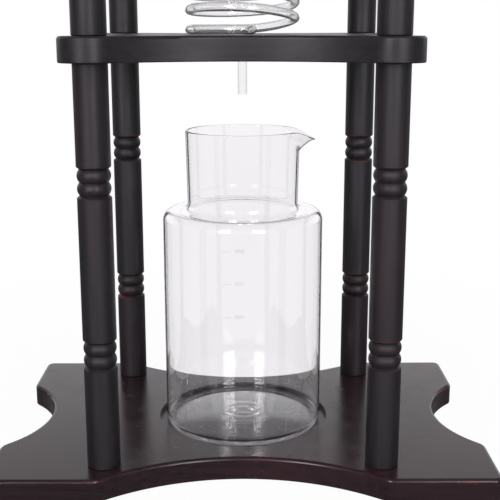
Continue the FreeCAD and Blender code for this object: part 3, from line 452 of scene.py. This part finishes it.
# Where the neck's and the floors' profiles have points: finely at the beak and the rings.
NECK_RUNS = ((SHOULDER + 14, 5.0, 7), (BEAK_ROOT - 3, 0.6, 11), (BEAK_ROOT + 4.5, 1.5, 9))
PUNT_STEPS = 16
OUTER_STEP, OUTER_COUNT = 4.0, 8
RINGED_REACH, RINGED_STEP = 27.0, 0.5


def soft_rise(value, blend):
    """0 below zero and the value above it, blended over a short stretch."""
    return (value + math.sqrt(value * value + blend * blend)) / 2


def draw_beak(reach, turned, level):
    """Crowds the facets towards +X, and draws the rim out there into a drooping point."""
    angle = turned - BEAK_CROWDING * math.sin(turned)
    share = soft_rise((level - BEAK_ROOT) / (RIM - BEAK_ROOT), BEAK_BLEND)
    if share < NO_BEAK:
        return reach, angle, level
    away = abs((angle + math.pi) % (2 * math.pi) - math.pi)
    tip = reach + (BEAK_TIP - NECK_TOP) * share
    spread = math.acos(reach / tip)
    inside = spread + BEAK_BLUNT - math.hypot(away, BEAK_BLUNT)
    pulled = reach / math.cos(inside) if inside > 0 else reach
    droop = BEAK_DROP * soft_rise(pulled * math.cos(away) - BEAK_DROP_START, BEAK_DROP_BLEND)
    return pulled, angle, level - droop * share


def neck(level):
    """The neck's outer radius."""
    return NECK_FOOT + (NECK_TOP - NECK_FOOT) * (level - SHOULDER) / (RIM - SHOULDER)


def carafe_floor(reach, edge):
    """Height of the inner floor: a low dome with the rings that the pontil left."""
    rings = sum(height * math.exp(-((reach - place) / width) ** 2)
                for place, height, width in PONTIL_RINGS)
    return FLOOR + PUNT * (1 - (reach / edge) ** 2) + rings


def make_carafe():
    inner, lip = RADIUS - WALL, WALL * RIM_SHARE
    ring, edge = RADIUS - HEEL, inner - INNER_HEEL
    under = [(ring * n / PUNT_STEPS, PUNT * (1 - (n / PUNT_STEPS) ** 2))
             for n in range(PUNT_STEPS + 1)]
    levels = [start + step * n for start, step, count in NECK_RUNS for n in range(count)]
    reaches = [edge - OUTER_STEP * n for n in range(1, OUTER_COUNT + 1)]
    reaches += [RINGED_STEP * n for n in range(round(RINGED_REACH / RINGED_STEP), -1, -1)]
    path = rounded([
        *under, (RADIUS, 0, HEEL), (RADIUS, SHOULDER, CORNER), (NECK_FOOT, SHOULDER, NECK_BLEND),
        *[(neck(level), level) for level in levels],
        (NECK_TOP, RIM, lip), (NECK_TOP - WALL, RIM, lip),
        *[(neck(level) - WALL, level) for level in reversed(levels)],
        (NECK_FOOT - WALL, SHOULDER - WALL, NECK_BLEND + WALL),
        (inner, SHOULDER - WALL, CORNER - WALL), (inner, FLOOR, INNER_HEEL), (edge, FLOOR),
        *[(reach, carafe_floor(reach, edge)) for reach in reaches],
    ])
    path = [(reach, level + CARAFE_FOOT) for reach, level in path]

    def shape(reach, turned, level):
        across, angle, up = draw_beak(reach, turned, level - CARAFE_FOOT)
        return across, angle, up + CARAFE_FOOT

    glass_for("carafe", turn(path, CARAFE_SIDES, shape=shape), "carafe_body")


MARKS = ((163.2, "2000"), (129.9, "1500"), (95.7, "1000"))  # level, and its figures
MARK_LIFT, MARK_THICK = 0.02, 0.04
FIGURE_HEIGHT, FIGURE_START = 5.0, -1.5  # starts lie along the back wall, towards -X
LINE_START, LINE_LENGTH, LINE_WIDTH, LINE_STEPS = 12.5, 8.5, 0.45, 8


def add_figures(mesh, words, level):
    """Adds flat figures beside a line, to be read from behind."""
    curve = bpy.data.curves.new("figures", "FONT")
    curve.body = words
    curve.size = FIGURE_HEIGHT
    curve.align_x, curve.align_y = "LEFT", "CENTER"
    data = evaluated_mesh(new_object("figures", curve))
    data.transform(Matrix.Translation((FIGURE_START, level, 0)))
    mesh.from_mesh(data)
    bpy.data.curves.remove(curve)
    bpy.data.meshes.remove(data)


def add_line(mesh, level):
    """Adds a flat line, in short steps so that it can follow the wall."""
    rows = [[mesh.verts.new((LINE_START + LINE_LENGTH * n / LINE_STEPS,
                             level + side * LINE_WIDTH / 2, 0))
             for n in range(LINE_STEPS + 1)] for side in (-1, 1)]
    for n in range(LINE_STEPS):
        mesh.faces.new((rows[0][n], rows[0][n + 1], rows[1][n + 1], rows[1][n]))


def make_marks():
    """Measuring lines and figures fired on the back of the carafe."""
    mesh = bmesh.new()
    for level, words in MARKS:
        add_figures(mesh, words, level)
        add_line(mesh, level)
    solid = bmesh.ops.extrude_face_region(mesh, geom=mesh.faces[:])
    lifted = {v for v in solid["geom"] if isinstance(v, bmesh.types.BMVert)}
    for vert in mesh.verts:
        along, level, _ = vert.co
        reach = RADIUS + MARK_LIFT + (MARK_THICK if vert in lifted else 0)
        turned = along / RADIUS
        vert.co = Vector((-reach * math.sin(turned), reach * math.cos(turned), level)) * MM
    bmesh.ops.recalc_face_normals(mesh, faces=mesh.faces)
    marks = piece("carafe_marks", mesh, mark_enamel)
    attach(marks, "carafe_body")


# ---------------------------------------------------------------- glass coil

DRIP_END = foot_of("drip_coil")
COIL_RADIUS, TUBE, TUBE_WALL, COIL_LEVEL = 45.6, 4.0, 1.0, DRIP_END + 56.0
COIL_TURNS, COIL_PITCH, COIL_START = 10, 13.5, 267.4  # the start is an angle, from +X
LEVEL_PART, QUICK_PART, END_DROP = 177, 90, 9.5  # the lowest turn, and the quick climb from it
TILT, TILT_IN, TILT_OUT = 5.0, (177, 357), (2520, 3600)  # the coil leans between these angles
TUBE_BEND, FUNNEL_STEM, FUNNEL_JOINT = 10.0, 16.0, 3.0
FUNNEL_RADIUS, FUNNEL_CONE, FUNNEL_CUP, FUNNEL_WALL = 28.0, 20.0, 20.0, 1.6
FUNNEL_THROAT, FUNNEL_CORNER = 5.0, 7.0  # how far its outside is rounded, below and above
TUBE_SIDES, TURN_POINTS, BEND_POINTS = 28, 60, 12
TUBE_SEAM = 0.4  # the gap that is left between tube and funnel until their rims are joined


def step_up(value, start, finish):
    """Rises smoothly from 0 to 1."""
    share = min(max((value - start) / (finish - start), 0), 1)
    return share ** 2 * (3 - 2 * share)


def coil_rise(turned):
    """Height above the lowest, level turn after some degrees of winding."""
    rate, climb = COIL_PITCH / 360, turned - LEVEL_PART
    share = climb / QUICK_PART
    if climb <= 0:
        rise = 0.0
    elif share >= 1:
        rise = END_DROP + rate * (climb - QUICK_PART)
    else:
        rise = (END_DROP * (3 * share ** 2 - 2 * share ** 3)
                + rate * QUICK_PART * (share ** 3 - share ** 2))
    lean = step_up(turned, *TILT_IN) - step_up(turned, *TILT_OUT)
    return rise + TILT * lean * math.cos(math.radians(COIL_START - turned + 90))


def polar(reach, degrees, level):
    angle = math.radians(degrees)
    return Vector((reach * math.cos(angle), reach * math.sin(angle), level))


def bend_points(start, corner, finish):
    """Points on the arc that leaves start and reaches finish along lines to the corner."""
    half = (corner - start).angle(finish - corner) / 2
    radius = (corner - start).length / math.tan(half)
    inward = ((start - corner).normalized() + (finish - corner).normalized()).normalized()
    centre = corner + inward * radius / math.cos(half)
    first = start - centre
    axis = first.cross(finish - centre).normalized()
    return [centre + Matrix.Rotation(2 * half * n / BEND_POINTS, 3, axis) @ first
            for n in range(1, BEND_POINTS)]


def spoke(degrees, level, side):
    """The level run from the axis to the coil: its end, the bend's corner and joint, its start."""
    centre_reach = COIL_RADIUS - TUBE_BEND
    run = math.sqrt(centre_reach ** 2 - TUBE_BEND ** 2)
    swing = math.degrees(math.asin(TUBE_BEND / centre_reach))
    joint = polar(COIL_RADIUS, degrees, level)
    corner = joint + polar(TUBE_BEND * math.tan(math.radians(90 + swing) / 2),
                           degrees + side * 90, 0)
    outward = polar(1, degrees + side * swing, 0)
    return outward * run + Vector((0, 0, level)), corner, joint, outward * TUBE_BEND


def coil_line():
    """Points up the tube's centre line: drip end, lowest turn, climbing turns, stem."""
    up = Vector((0, 0, TUBE_BEND))
    run_end, corner, joint, outward = spoke(COIL_START, COIL_LEVEL, 1)
    low = Vector((0, 0, COIL_LEVEL))
    points = [Vector((0, 0, DRIP_END)), low - up]
    points += bend_points(low - up, low, low + outward)
    points += [low + outward, run_end, *bend_points(run_end, corner, joint), joint]
    for number in range(1, COIL_TURNS * TURN_POINTS + 1):
        turned = 360 * number / TURN_POINTS
        points.append(polar(COIL_RADIUS, COIL_START - turned, COIL_LEVEL + coil_rise(turned)))
    run_end, corner, joint, outward = spoke(COIL_START, points[-1].z, -1)
    high = Vector((0, 0, joint.z))
    points += [*bend_points(joint, corner, run_end), run_end, high + outward]
    points += bend_points(high + outward, high, high + up)
    points += [high + up, high + up + Vector((0, 0, FUNNEL_STEM - FUNNEL_JOINT))]
    return points


def tube_tree():
    """Follows a line with a bored tube: an outer and an inner wall, both open-ended."""
    tree = bpy.data.node_groups.new("bored_tube", "GeometryNodeTree")
    face = tree.interface
    face.new_socket("Geometry", in_out="INPUT", socket_type="NodeSocketGeometry")
    for label in ("Tube radius", "Wall"):
        face.new_socket(label, in_out="INPUT", socket_type="NodeSocketFloat")
    face.new_socket("Sides", in_out="INPUT", socket_type="NodeSocketInt")
    face.new_socket("Finish", in_out="INPUT", socket_type="NodeSocketMaterial")
    face.new_socket("Geometry", in_out="OUTPUT", socket_type="NodeSocketGeometry")
    given = tree.nodes.new("NodeGroupInput").outputs
    line = add(tree, "GeometryNodeMeshToCurve", {"Mesh": given["Geometry"]}).outputs[0]
    bore = maths(tree, "SUBTRACT", given["Tube radius"], given["Wall"])
    both = add(tree, "GeometryNodeJoinGeometry")
    for radius in (given["Tube radius"], bore):
        ring = add(tree, "GeometryNodeCurvePrimitiveCircle",
                   {"Resolution": given["Sides"], "Radius": radius})
        wall = add(tree, "GeometryNodeCurveToMesh",
                   {"Curve": line, "Profile Curve": ring.outputs[0]})
        tree.links.new(wall.outputs[0], both.inputs[0])
    real = add(tree, "GeometryNodeRealizeInstances", {"Geometry": both.outputs[0]})
    painted = add(tree, "GeometryNodeSetMaterial",
                  {"Geometry": real.outputs[0], "Material": given["Finish"]})
    tree.links.new(painted.outputs[0], tree.nodes.new("NodeGroupOutput").inputs[0])
    return tree


def grown(name, points, tree, **values):
    """The bmesh that a node tree grows along a line of points."""
    line = bpy.data.meshes.new(name)
    line.from_pydata([p * MM for p in points], [(n, n + 1) for n in range(len(points) - 1)], [])
    item = new_object(name, line)
    modifier = item.modifiers.new("grow", "NODES")
    modifier.node_group = tree
    for socket in tree.interface.items_tree:
        label = socket.name.lower().replace(" ", "_")
        if socket.in_out == "INPUT" and label in values:
            modifier[socket.identifier] = values[label]
    data = evaluated_mesh(item)
    mesh = bmesh.new()
    mesh.from_mesh(data)
    bpy.data.meshes.remove(data)
    bpy.data.meshes.remove(line)
    return mesh


LEVEL_SLACK, REACH_SLACK = 0.05, 0.2  # how far a rim's points may lie from their circle


def open_ring(mesh, level, radius):
    """The points of an open rim on a level circle about the axis, in order of their angle."""
    found = [v for v in mesh.verts if v.is_boundary
             and abs(v.co.z / MM - level) < LEVEL_SLACK
             and abs(math.hypot(v.co.x, v.co.y) / MM - radius) < REACH_SLACK]
    return sorted(found, key=lambda v: math.atan2(v.co.y, v.co.x))


def join_rims(mesh, first, second):
    """Closes the gap between two open rims, where one has a whole number of times the points."""
    few, many = sorted((open_ring(mesh, *first), open_ring(mesh, *second)), key=len)
    times = len(many) // len(few)
    start = min(range(len(many)), key=lambda n: (many[n].co - few[0].co).length)
    for index, vert in enumerate(few):
        run = [many[(start + index * times + n) % len(many)] for n in range(times + 1)]
        mesh.faces.new([vert, *run, few[(index + 1) % len(few)]])


def make_coil():
    """The bent tube and the blown funnel on its stem, as one glass."""
    line = coil_line()
    mesh = grown("coil_line", line, tube_tree(), tube_radius=TUBE * MM, wall=TUBE_WALL * MM,
                 sides=TUBE_SIDES, finish=tube_glass)
    end, bore, wall = line[-1].z, TUBE - TUBE_WALL, FUNNEL_WALL
    start, stem = end + TUBE_SEAM, end + FUNNEL_JOINT
    cone, rim = stem + FUNNEL_CONE, stem + FUNNEL_CONE + FUNNEL_CUP
    inside, lip = FUNNEL_RADIUS - wall, wall * RIM_SHARE
    turn(rounded([
        (TUBE, start), (TUBE, stem, FUNNEL_THROAT), (FUNNEL_RADIUS, cone, FUNNEL_CORNER),
        (FUNNEL_RADIUS, rim, lip), (inside, rim, lip),
        (inside, cone + wall / 2, FUNNEL_CORNER - wall),
        (bore, stem + wall, FUNNEL_THROAT + TUBE_WALL), (bore, start),
    ]), steps=3 * TUBE_SIDES, closed=False, mesh=mesh)
    join_rims(mesh, (DRIP_END, TUBE), (DRIP_END, bore))
    for radius in (TUBE, bore):
        join_rims(mesh, (end, radius), (start, radius))
    bmesh.ops.recalc_face_normals(mesh, faces=mesh.faces)
    glass_for("drip_coil", mesh, "coil_body", tube_glass)


# ---------------------------------------------------------------- brewer and water globe

RIM_ROUND = 1.1
BREWER_RADIUS, BREWER_WALL, BREWER_STRAIGHT, BREWER_BLEND = 55.0, 2.5, 185.0, 8.0
OUTLET, OUTLET_LENGTH, OUTLET_BLEND, OUTLET_ROUND = 6.0, 26.0, 4.0, 0.9
RIM_BEAD, BEAD_STEPS = 1.2, 10


def make_brewer():
    """A cylinder on a cone of 45 degrees, with an outlet tube and a bead below its rim."""
    inner, bore = BREWER_RADIUS - BREWER_WALL, OUTLET - BREWER_WALL
    end = foot_of("brewer")
    cone_foot = end + OUTLET_LENGTH
    corner = cone_foot + BREWER_RADIUS - OUTLET
    rim = corner + BREWER_STRAIGHT
    inner_corner = corner + BREWER_WALL * (math.sqrt(2) - 1)
    inner_foot = inner_corner - (inner - bore)
    angles = [math.pi * n / BEAD_STEPS for n in range(BEAD_STEPS + 1)]
    bead = [(BREWER_RADIUS + RIM_BEAD * math.sin(a), rim - RIM_BEAD * (2 + math.cos(a)))
            for a in angles]
    glass_for("brewer", turn(rounded([
        (OUTLET, end, OUTLET_ROUND), (OUTLET, cone_foot, OUTLET_BLEND),
        (BREWER_RADIUS, corner, BREWER_BLEND), *bead,
        (BREWER_RADIUS, rim, RIM_ROUND), (inner, rim, RIM_ROUND),
        (inner, inner_corner, BREWER_BLEND - BREWER_WALL),
        (bore, inner_foot, OUTLET_BLEND + BREWER_WALL), (bore, end, OUTLET_ROUND),
    ])), "brewer_body")


GLOBE_RADIUS, GLOBE_WALL, GLOBE_SIDES = 86.0, 2.5, 180
MOUTH, MOUTH_LIP, MOUTH_BLEND, LIP_ROUND = 46.0, 2.5, 4.0, 0.8
RIM_HEIGHT = 84.661  # above the globe's middle
VALVE_HOLE, BOSS, BOSS_DROP, BOSS_LAND, BOSS_ROUND = 6.2, 15.0, 2.0, 13.0, 1.0


def make_globe():
    """A globe with a lipped mouth, and a flat boss below for the valve."""
    inner, throat, brim = GLOBE_RADIUS - GLOBE_WALL, MOUTH - GLOBE_WALL, MOUTH + MOUTH_LIP
    low = foot_of("water_globe")
    centre = low + BOSS_DROP + GLOBE_RADIUS
    outside = sphere_run(GLOBE_RADIUS, centre, BOSS, MOUTH)
    inside = sphere_run(inner, centre, BOSS_LAND, throat)
    rim = centre + RIM_HEIGHT
    lip = rim - MOUTH_LIP
    glass_for("water_globe", turn(rounded([
        (VALVE_HOLE, low), (BOSS, low, BOSS_ROUND), *outside[:-1],
        (*outside[-1], MOUTH_BLEND), (MOUTH, lip), (brim, lip, LIP_ROUND),
        (brim, rim, RIM_ROUND), (throat, rim, RIM_ROUND),
        (*inside[-1], MOUTH_BLEND + GLOBE_WALL), *reversed(inside[:-1]),
        (VALVE_HOLE, inside[0][1]),
    ]), GLOBE_SIDES), "globe_body")


make_carafe()
make_marks()
make_coil()
make_brewer()
make_globe()


# ---------------------------------------------------------------- camera and lights

LENS, SENSOR, CLIP_START, CLIP_END = 71.04, 36.0, 0.05, 100
CAMERA_PLACE = (0.0027, -0.8761, 0.3823)
PITCH, YAW, ROLL = (math.radians(a) for a in (-12.95, -0.25, -0.04))


def make_camera():
    data = bpy.data.cameras.new("camera")
    data.sensor_width, data.lens = SENSOR, LENS
    data.clip_start, data.clip_end = CLIP_START, CLIP_END
    camera = new_object("camera", data)
    camera.location = CAMERA_PLACE
    camera.rotation_euler = (
        Matrix.Rotation(YAW, 3, "Z") @ Matrix.Rotation(math.pi / 2 + PITCH, 3, "X")
        @ Matrix.Rotation(ROLL, 3, "Z")).to_euler()
    bpy.context.scene.camera = camera


def soft_light(name, place, target, size, radiance):
    """A rectangular soft box that faces its target, as bright as its radiance says."""
    data = bpy.data.lights.new(name, "AREA")
    data.shape = "RECTANGLE"
    data.size, data.size_y = size
    data.energy = radiance * math.pi * size[0] * size[1]
    light = new_object(name, data)
    light.location = place
    light.rotation_euler = (Vector(target) - Vector(place)).to_track_quat("-Z", "Y").to_euler()
    light.visible_camera = False
    light.visible_glossy = False
    light.visible_transmission = False


WINDOW_BOXES = (("left_window", -28), ("right_window", 24))  # degrees to the right of the front
BOX_DISTANCE, BOX_HEIGHT, BOX_SIZE, BOX_RADIANCE = 2.6, 1.15, (1.1, 1.9), 1.9
TOP_PLACE, TOP_TARGET, TOP_SIZE, TOP_RADIANCE = (0, -1.1, 2.3), (0, 0, 0.3), (1.5, 0.8), 5.0


def make_lights():
    """Two upright soft boxes in front of the tower, and one above it."""
    for name, azimuth in WINDOW_BOXES:
        turned = math.radians(azimuth)
        place = (BOX_DISTANCE * math.sin(turned), -BOX_DISTANCE * math.cos(turned), BOX_HEIGHT)
        soft_light(name, place, (0, 0, BOX_HEIGHT), BOX_SIZE, BOX_RADIANCE)
    soft_light("top_box", TOP_PLACE, TOP_TARGET, TOP_SIZE, TOP_RADIANCE)


# ---------------------------------------------------------------- room and floor

SIDE_ROOM, FRONT_ROOM, BACK_ROOM = 0.2, 0.6, 1.3  # brightness in gloss
BACK_EDGE, FRONT_EDGE, HIGH_EDGE = (0.25, 0.6), (0.55, 0.85), (0.25, 0.5)  # parts of a direction
HIGH_BACK = 0.3  # share of the back's brightness that is left high up
WINDOWS = (-0.53, 0.445)  # slopes across, from the front, of the two windows' middles
WINDOW_HALF, WINDOW_LOW, WINDOW_HIGH = 0.2, -0.04, 0.75  # slopes too
WINDOW_SOFT, WINDOW_GLOW = 0.04, 7.5
LEAST_DEPTH = 0.01  # keeps a slope finite for a direction that isn't to the front
ROOM_TINT = (0.96, 0.94, 0.97, 1)  # the room's white in gloss and through glass
THROUGH_GLASS = 0.97  # the backdrop's strength through glass
HIGH_THROUGH, THROUGH_EDGE = 0.4, (0.4, 0.46)  # the same high up, and where it changes
PANES_THROUGH = 1.2  # how much brighter the windows' light is that comes back through glass


def within(tree, value, middle, half):
    """1 inside a band of values, 0 outside, with soft edges."""
    off = maths(tree, "ABSOLUTE", maths(tree, "SUBTRACT", value, middle))
    return smooth_range(tree, off, half, half - WINDOW_SOFT)


def room_light(tree, towards):
    """Brightness of the room by direction, and of the two windows in front of the tower."""
    across, along, up = towards
    ahead = maths(tree, "MULTIPLY", along, -1.0)
    back = maths(tree, "MULTIPLY",
                 smooth_range(tree, along, *BACK_EDGE, 0.0, BACK_ROOM - SIDE_ROOM),
                 smooth_range(tree, up, *HIGH_EDGE, 1.0, HIGH_BACK))
    front = smooth_range(tree, ahead, *FRONT_EDGE, 0.0, FRONT_ROOM - SIDE_ROOM)
    level = maths(tree, "ADD", maths(tree, "ADD", back, front), SIDE_ROOM)
    depth = maths(tree, "MAXIMUM", ahead, LEAST_DEPTH)
    slope, rise = maths(tree, "DIVIDE", across, depth), maths(tree, "DIVIDE", up, depth)
    tall = within(tree, rise, (WINDOW_LOW + WINDOW_HIGH) / 2, (WINDOW_HIGH - WINDOW_LOW) / 2)
    left, right = (within(tree, slope, middle, WINDOW_HALF) for middle in WINDOWS)
    panes = maths(tree, "MULTIPLY", maths(tree, "ADD", left, right), tall)
    return level, maths(tree, "MULTIPLY", panes, WINDOW_GLOW)


def make_world():
    """White to the eye; for light, gloss and glass, a room with windows and a white back."""
    world = bpy.data.worlds.new("studio")
    bpy.context.scene.world = world
    world.use_nodes = True
    tree = world.node_tree
    tree.nodes.clear()
    ray = add(tree, "ShaderNodeLightPath").outputs
    through = ray["Is Transmission Ray"]
    towards = parts_of(tree, add(tree, "ShaderNodeTexCoord").outputs["Generated"])
    room_level, panes = room_light(tree, towards)
    glassed = smooth_range(tree, towards[2], *THROUGH_EDGE, THROUGH_GLASS, HIGH_THROUGH)
    level = mix_value(tree, through, room_level, glassed)
    boost = maths(tree, "MULTIPLY_ADD", through, PANES_THROUGH, 1.0)
    direct = maths(tree, "LESS_THAN", ray["Diffuse Depth"], 0.5)  # no glints thrown on the wood
    seen = maths(tree, "MULTIPLY", ray["Is Glossy Ray"], direct)
    mirrored = maths(tree, "MULTIPLY", maths(tree, "MULTIPLY", panes, seen), boost)
    white = add(tree, "ShaderNodeBackground", {"Color": WHITE, "Strength": 1.0})
    room = add(tree, "ShaderNodeBackground", {
        "Color": ROOM_TINT, "Strength": maths(tree, "ADD", level, mirrored)})
    both = add(tree, "ShaderNodeMixShader", {
        0: ray["Is Camera Ray"], 1: room.outputs[0], 2: white.outputs[0]})
    tree.links.new(both.outputs[0], tree.nodes.new("ShaderNodeOutputWorld").inputs[0])


FLOOR_RADIUS, FLOOR_SIDES = 30, 96
PAPER = (0.86, 0.86, 0.86, 1)
CLEAN_EDGE, CLEAN_SHARE = (0.2, 0.9), 0.97  # how white it shows near the tower, and 1 far off
FLOOR_ASIDE, FLOOR_AHEAD = 0.15, 0.2  # its brightness in gloss, and what is added in front
FRONT_THROUGH = -0.3  # what is added in front to its brightness through glass
FRONT_FADE = (1.2, 3.5)  # the distances between which that fades out
FRONT_START, FRONT_SOFT, FRONT_SPREAD = 0.25, 0.6, 0.5


def floor_in_front(tree, place):
    """1 on the floor in front of the tower, on a wedge that widens outwards."""
    aside = maths(tree, "MULTIPLY", maths(tree, "ABSOLUTE", place[0]), -FRONT_SPREAD)
    away = maths(tree, "MULTIPLY_ADD", place[1], -1.0, aside)
    return smooth_range(tree, away, FRONT_START, FRONT_START + FRONT_SOFT)


def make_floor():
    """A pale floor that shows white and keeps a soft shadow under the tower."""
    mesh = bmesh.new()
    bmesh.ops.create_circle(mesh, cap_ends=True, segments=FLOOR_SIDES, radius=FLOOR_RADIUS)
    material = new_material("floor_paper")
    tree = material.node_tree
    ray = add(tree, "ShaderNodeLightPath").outputs
    camera, through = ray["Is Camera Ray"], ray["Is Transmission Ray"]
    even = stretched(tree)
    far = add(tree, "ShaderNodeVectorMath", {0: even}, operation="LENGTH").outputs["Value"]
    front = floor_in_front(tree, parts_of(tree, even))
    mirrored = maths(tree, "MULTIPLY_ADD", front, FLOOR_AHEAD, FLOOR_ASIDE)
    near = maths(tree, "MULTIPLY", front, smooth_range(tree, far, *FRONT_FADE, 1.0, 0.0))
    glassed = maths(tree, "MULTIPLY_ADD", near, FRONT_THROUGH, THROUGH_GLASS)
    strength = mix_value(tree, camera, mix_value(tree, through, mirrored, glassed), 1.0)
    glow = add(tree, "ShaderNodeEmission", {
        "Color": mix_colour(tree, camera, ROOM_TINT, WHITE), "Strength": strength})
    paper = add(tree, "ShaderNodeBsdfDiffuse", {"Color": PAPER})
    clean = smooth_range(tree, far, *CLEAN_EDGE, first=CLEAN_SHARE)
    share = maths(tree, "MAXIMUM", maths(tree, "MULTIPLY", camera, clean), ray["Is Glossy Ray"])
    both = add(tree, "ShaderNodeMixShader", {0: share, 1: paper.outputs[0], 2: glow.outputs[0]})
    finish_with(material, both.outputs[0])
    piece("floor", mesh, material)


make_camera()
make_world()
make_floor()
make_lights()

LIGHT_DEPTH = 24  # walls that light may pass or turn back from, in nested tubes and floors
scene = bpy.context.scene
scene.view_settings.view_transform = "Standard"
scene.cycles.max_bounces = LIGHT_DEPTH
scene.cycles.glossy_bounces = LIGHT_DEPTH
scene.cycles.transmission_bounces = LIGHT_DEPTH
